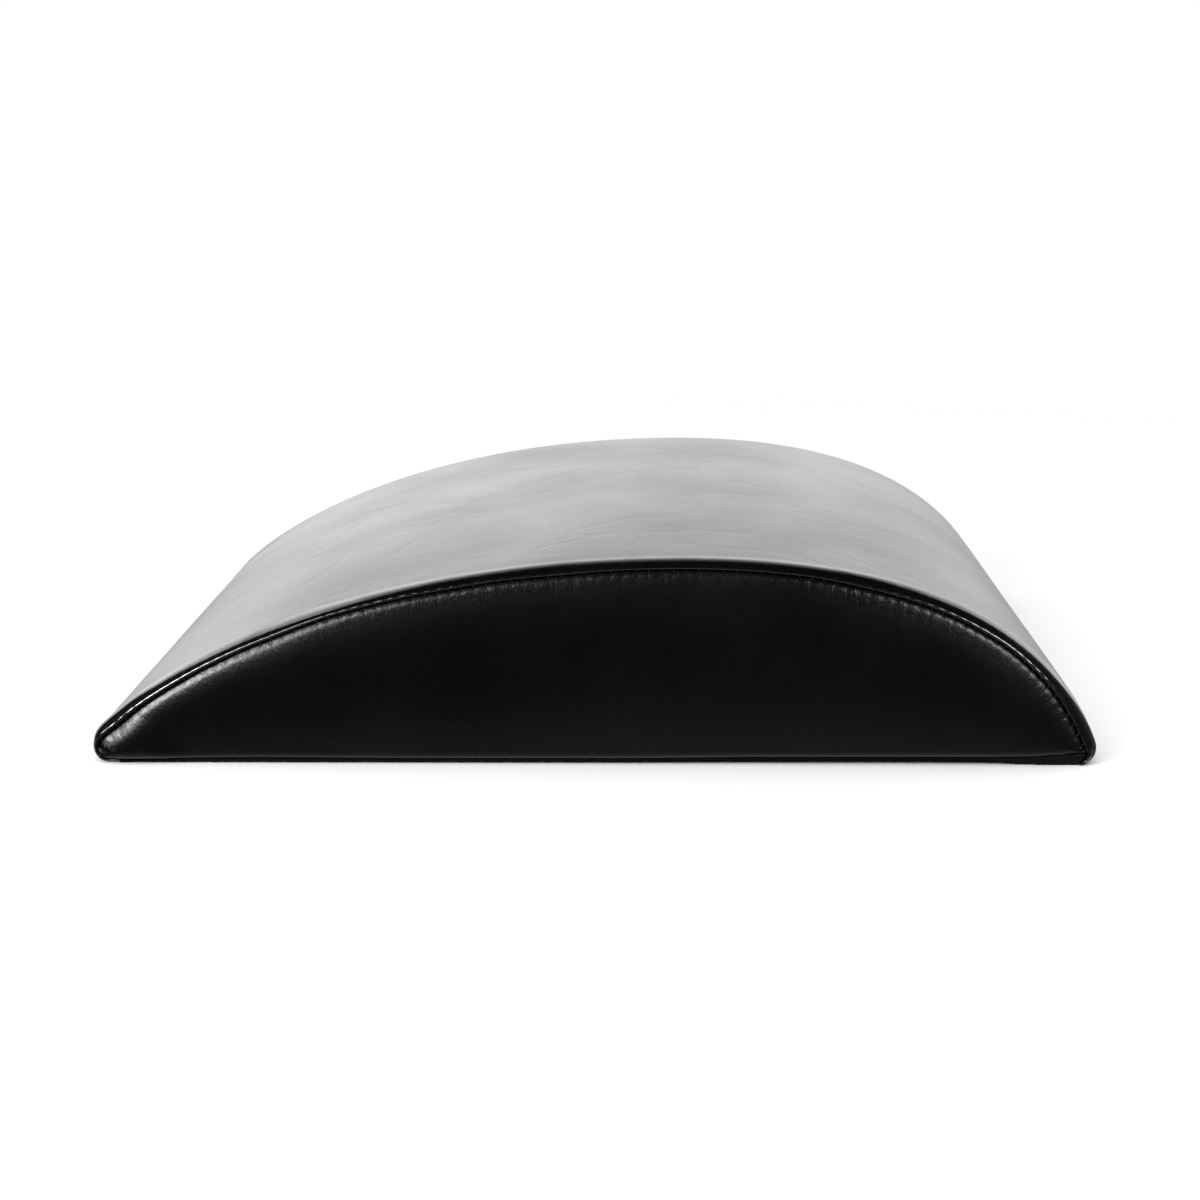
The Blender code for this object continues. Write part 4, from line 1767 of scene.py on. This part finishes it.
@dataclass
class Studio:
    """A pale floor, soft light, and the camera at the photo's viewing angle.

    The room's light depends on the direction that it comes from. Each span goes from one X, Y or Z of that
    direction to another.
    """

    focal_pixels: float = 2156.6
    frame_pixels: float = 1200.0
    sensor_mm: float = 36.0
    camera_place: Triple = (0.0226, -0.9347, 0.2428)
    pitch_degrees: float = 12.93
    yaw_degrees: float = 1.435
    roll_degrees: float = -0.236
    floor_reach: float = 1.2
    floor_fade: Pair = (0.55, 1.0)
    floor_sides: int = 96
    floor_colour: str = "#F6F6F5"
    floor_roughness: float = 0.9
    floor_specular: float = 0.1
    paper_tooth_mm: float = 2.5
    paper_height_mm: float = 0.02
    backdrop_level: float = 2.5
    backdrop_right_share: float = 0.78
    backdrop_low_share: float = 0.18
    backdrop_back: Pair = (0.25, 0.70)
    backdrop_top: Pair = (0.30, 0.68)
    backdrop_foot: Pair = (-0.30, 0.12)
    backdrop_across: Pair = (-0.30, 0.55)
    floor_glow: float = 0.6
    room_glow: float = 0.015
    glow_span: Pair = (-0.95, -0.30)
    lights: tuple[SoftLight, ...] = (
        SoftLight("light_left", (-1.19, -0.88, 0.77), (-0.12, -0.15, 0.04), (0.50, 0.28), 34.0),
        SoftLight("light_front_left", (-0.78, -1.26, 0.79), (-0.10, -0.15, 0.05), (0.50, 0.26), 10.5),
        SoftLight("light_right", (0.94, -0.95, 0.60), (0.15, -0.15, 0.04), (0.55, 0.28), 11.0),
        SoftLight("light_above", (0.0, 0.0, 2.6), (0.0, 0.0, 0.0), (5.0, 5.0), 1.5, False),
    )

    def add_camera(self) -> None:
        """Sets up the camera."""
        lens = bpy.data.cameras.new("camera")
        lens.sensor_width = self.sensor_mm
        lens.lens = self.sensor_mm * self.focal_pixels / self.frame_pixels
        lens.clip_start, lens.clip_end = 0.01, 100
        camera = bpy.data.objects.new("camera", lens)
        aim = Matrix.Rotation(math.radians(self.yaw_degrees), 4, "Z")
        aim = aim @ Matrix.Rotation(math.radians(90 - self.pitch_degrees), 4, "X")
        aim = aim @ Matrix.Rotation(math.radians(self.roll_degrees), 4, "Z")
        camera.matrix_world = Matrix.Translation(self.camera_place) @ aim
        bpy.context.scene.collection.objects.link(camera)
        bpy.context.scene.camera = camera

    def paper(self) -> bpy.types.Material:
        """Makes the floor's matte white paper, which fades out with distance and is clear from below."""
        made = bpy.data.materials.new("studio_paper")
        tree = new_tree(made)
        tooth = add_node(tree, "TexNoise", links={"Scale": 1000 / self.paper_tooth_mm, "Detail": 2.0})
        relief = add_node(tree, "Bump", links={"Height": tooth, "Distance": self.paper_height_mm * MM})
        paper = add_node(
            tree,
            "BsdfPrincipled",
            links={
                "Base Color": linear(self.floor_colour),
                "Roughness": self.floor_roughness,
                "Specular IOR Level": self.floor_specular,
                "Normal": relief,
            },
        )
        clear = add_node(tree, "BsdfTransparent")
        below = add_node(tree, "NewGeometry").outputs["Backfacing"]
        place = add_node(tree, "TexCoord").outputs["Object"]
        reach = add_node(tree, "VectorMath", {"operation": "LENGTH"}, {0: place}).outputs["Value"]
        faded = add_node(tree, "MapRange", EASED, {"Value": reach} | ends(*self.floor_fade))
        gone = add_node(tree, "Math", {"operation": "MAXIMUM"}, {0: below, 1: faded})
        both = add_node(tree, "MixShader", links={0: gone, 1: paper, 2: clear})
        add_node(tree, "OutputMaterial", links={"Surface": both})
        return made

    def add_floor(self) -> None:
        """Lays the floor, a round sheet under the mat."""
        mesh = bpy.data.meshes.new("floor")
        angles = np.linspace(0, 360, self.floor_sides, endpoint=False)
        rim = [(*(self.floor_reach * direction(angle)), 0) for angle in angles]
        mesh.from_pydata(rim, [], [list(range(self.floor_sides))])
        mesh.materials.append(self.paper())
        floor = bpy.data.objects.new("floor", mesh)
        floor.visible_glossy = False
        bpy.context.scene.collection.objects.link(floor)

    def add_air(self) -> None:
        """Lights the room: a bright backdrop behind the mat, a dim glow elsewhere, and white to the eye.

        The backdrop is what the back of the mat mirrors. It reaches below the horizon, as a paper sweep
        does, and is a little darker on the right.
        """
        world = bpy.data.worlds.new("room")
        tree = new_tree(world)
        way = add_node(tree, "TexCoord").outputs["Generated"]
        right, back, up = add_node(tree, "SeparateXYZ", links={"Vector": way}).outputs
        level = self.backdrop_level
        backdrop = None
        for value, span in (
            (back, (*self.backdrop_back, 0.0, 1.0)),
            (up, (*self.backdrop_top, 1.0, 0.0)),
            (up, (*self.backdrop_foot, self.backdrop_low_share, 1.0)),
            (right, (*self.backdrop_across, level, level * self.backdrop_right_share)),
        ):
            factor = add_node(tree, "MapRange", EASED, {"Value": value} | ends(*span))
            if backdrop is not None:
                factor = add_node(tree, "Math", {"operation": "MULTIPLY"}, {0: backdrop, 1: factor})
            backdrop = factor
        span = ends(*self.glow_span, self.floor_glow, self.room_glow)
        glow = add_node(tree, "MapRange", EASED, {"Value": up} | span)
        lit = add_node(tree, "Math", {"operation": "ADD"}, {0: backdrop, 1: glow})
        dim = add_node(tree, "Background", links={"Strength": lit})
        white = add_node(tree, "Background", links={"Color": linear("#FFFFFF")})
        eye = add_node(tree, "LightPath").outputs["Is Camera Ray"]
        both = add_node(tree, "MixShader", links={0: eye, 1: dim, 2: white})
        add_node(tree, "OutputWorld", links={"Surface": both})
        bpy.context.scene.world = world

    def build(self) -> None:
        """Sets up the whole studio."""
        self.add_camera()
        self.add_floor()
        self.add_air()
        for light in self.lights:
            light.make()
        bpy.context.scene.view_settings.view_transform = "Standard"


def main() -> None:
    """Builds the mat's pieces in order, and the studio round them."""
    logging.basicConfig(level=logging.INFO, format="%(name)s %(message)s")
    outline = Outline(Mat())
    seam, filling = EndSeam(outline), Filling(outline)
    filling.simulate()
    leather = PuLeather().make()
    drawn_leather = PuLeather(
        "black_pu_leather_drawn",
        roughness=(0.33, 0.43),
        edge_polish=0.58,
        edge_coat=0.9,
        coat_roughness=0.14,
        coat_ior=1.7,
        pebble_mm=0.7,
        pebble_height_mm=0.02,
        wrinkle_height_mm=0.02,
        crease_height_mm=0.09,
    ).make()
    FoamWedge(outline).build(ClosedCellFoam().make())
    TopPanel(seam=seam, filling=filling).build(drawn_leather)
    for end in End:
        EndPanel(seam=seam, filling=filling, end=end).build(leather)
    BasePanel(seam=seam).build(AntiSlipFabric().make())
    SeamThread(seam).build(BondedThread().make())
    Studio().build()


if __name__ == "__main__":
    main()
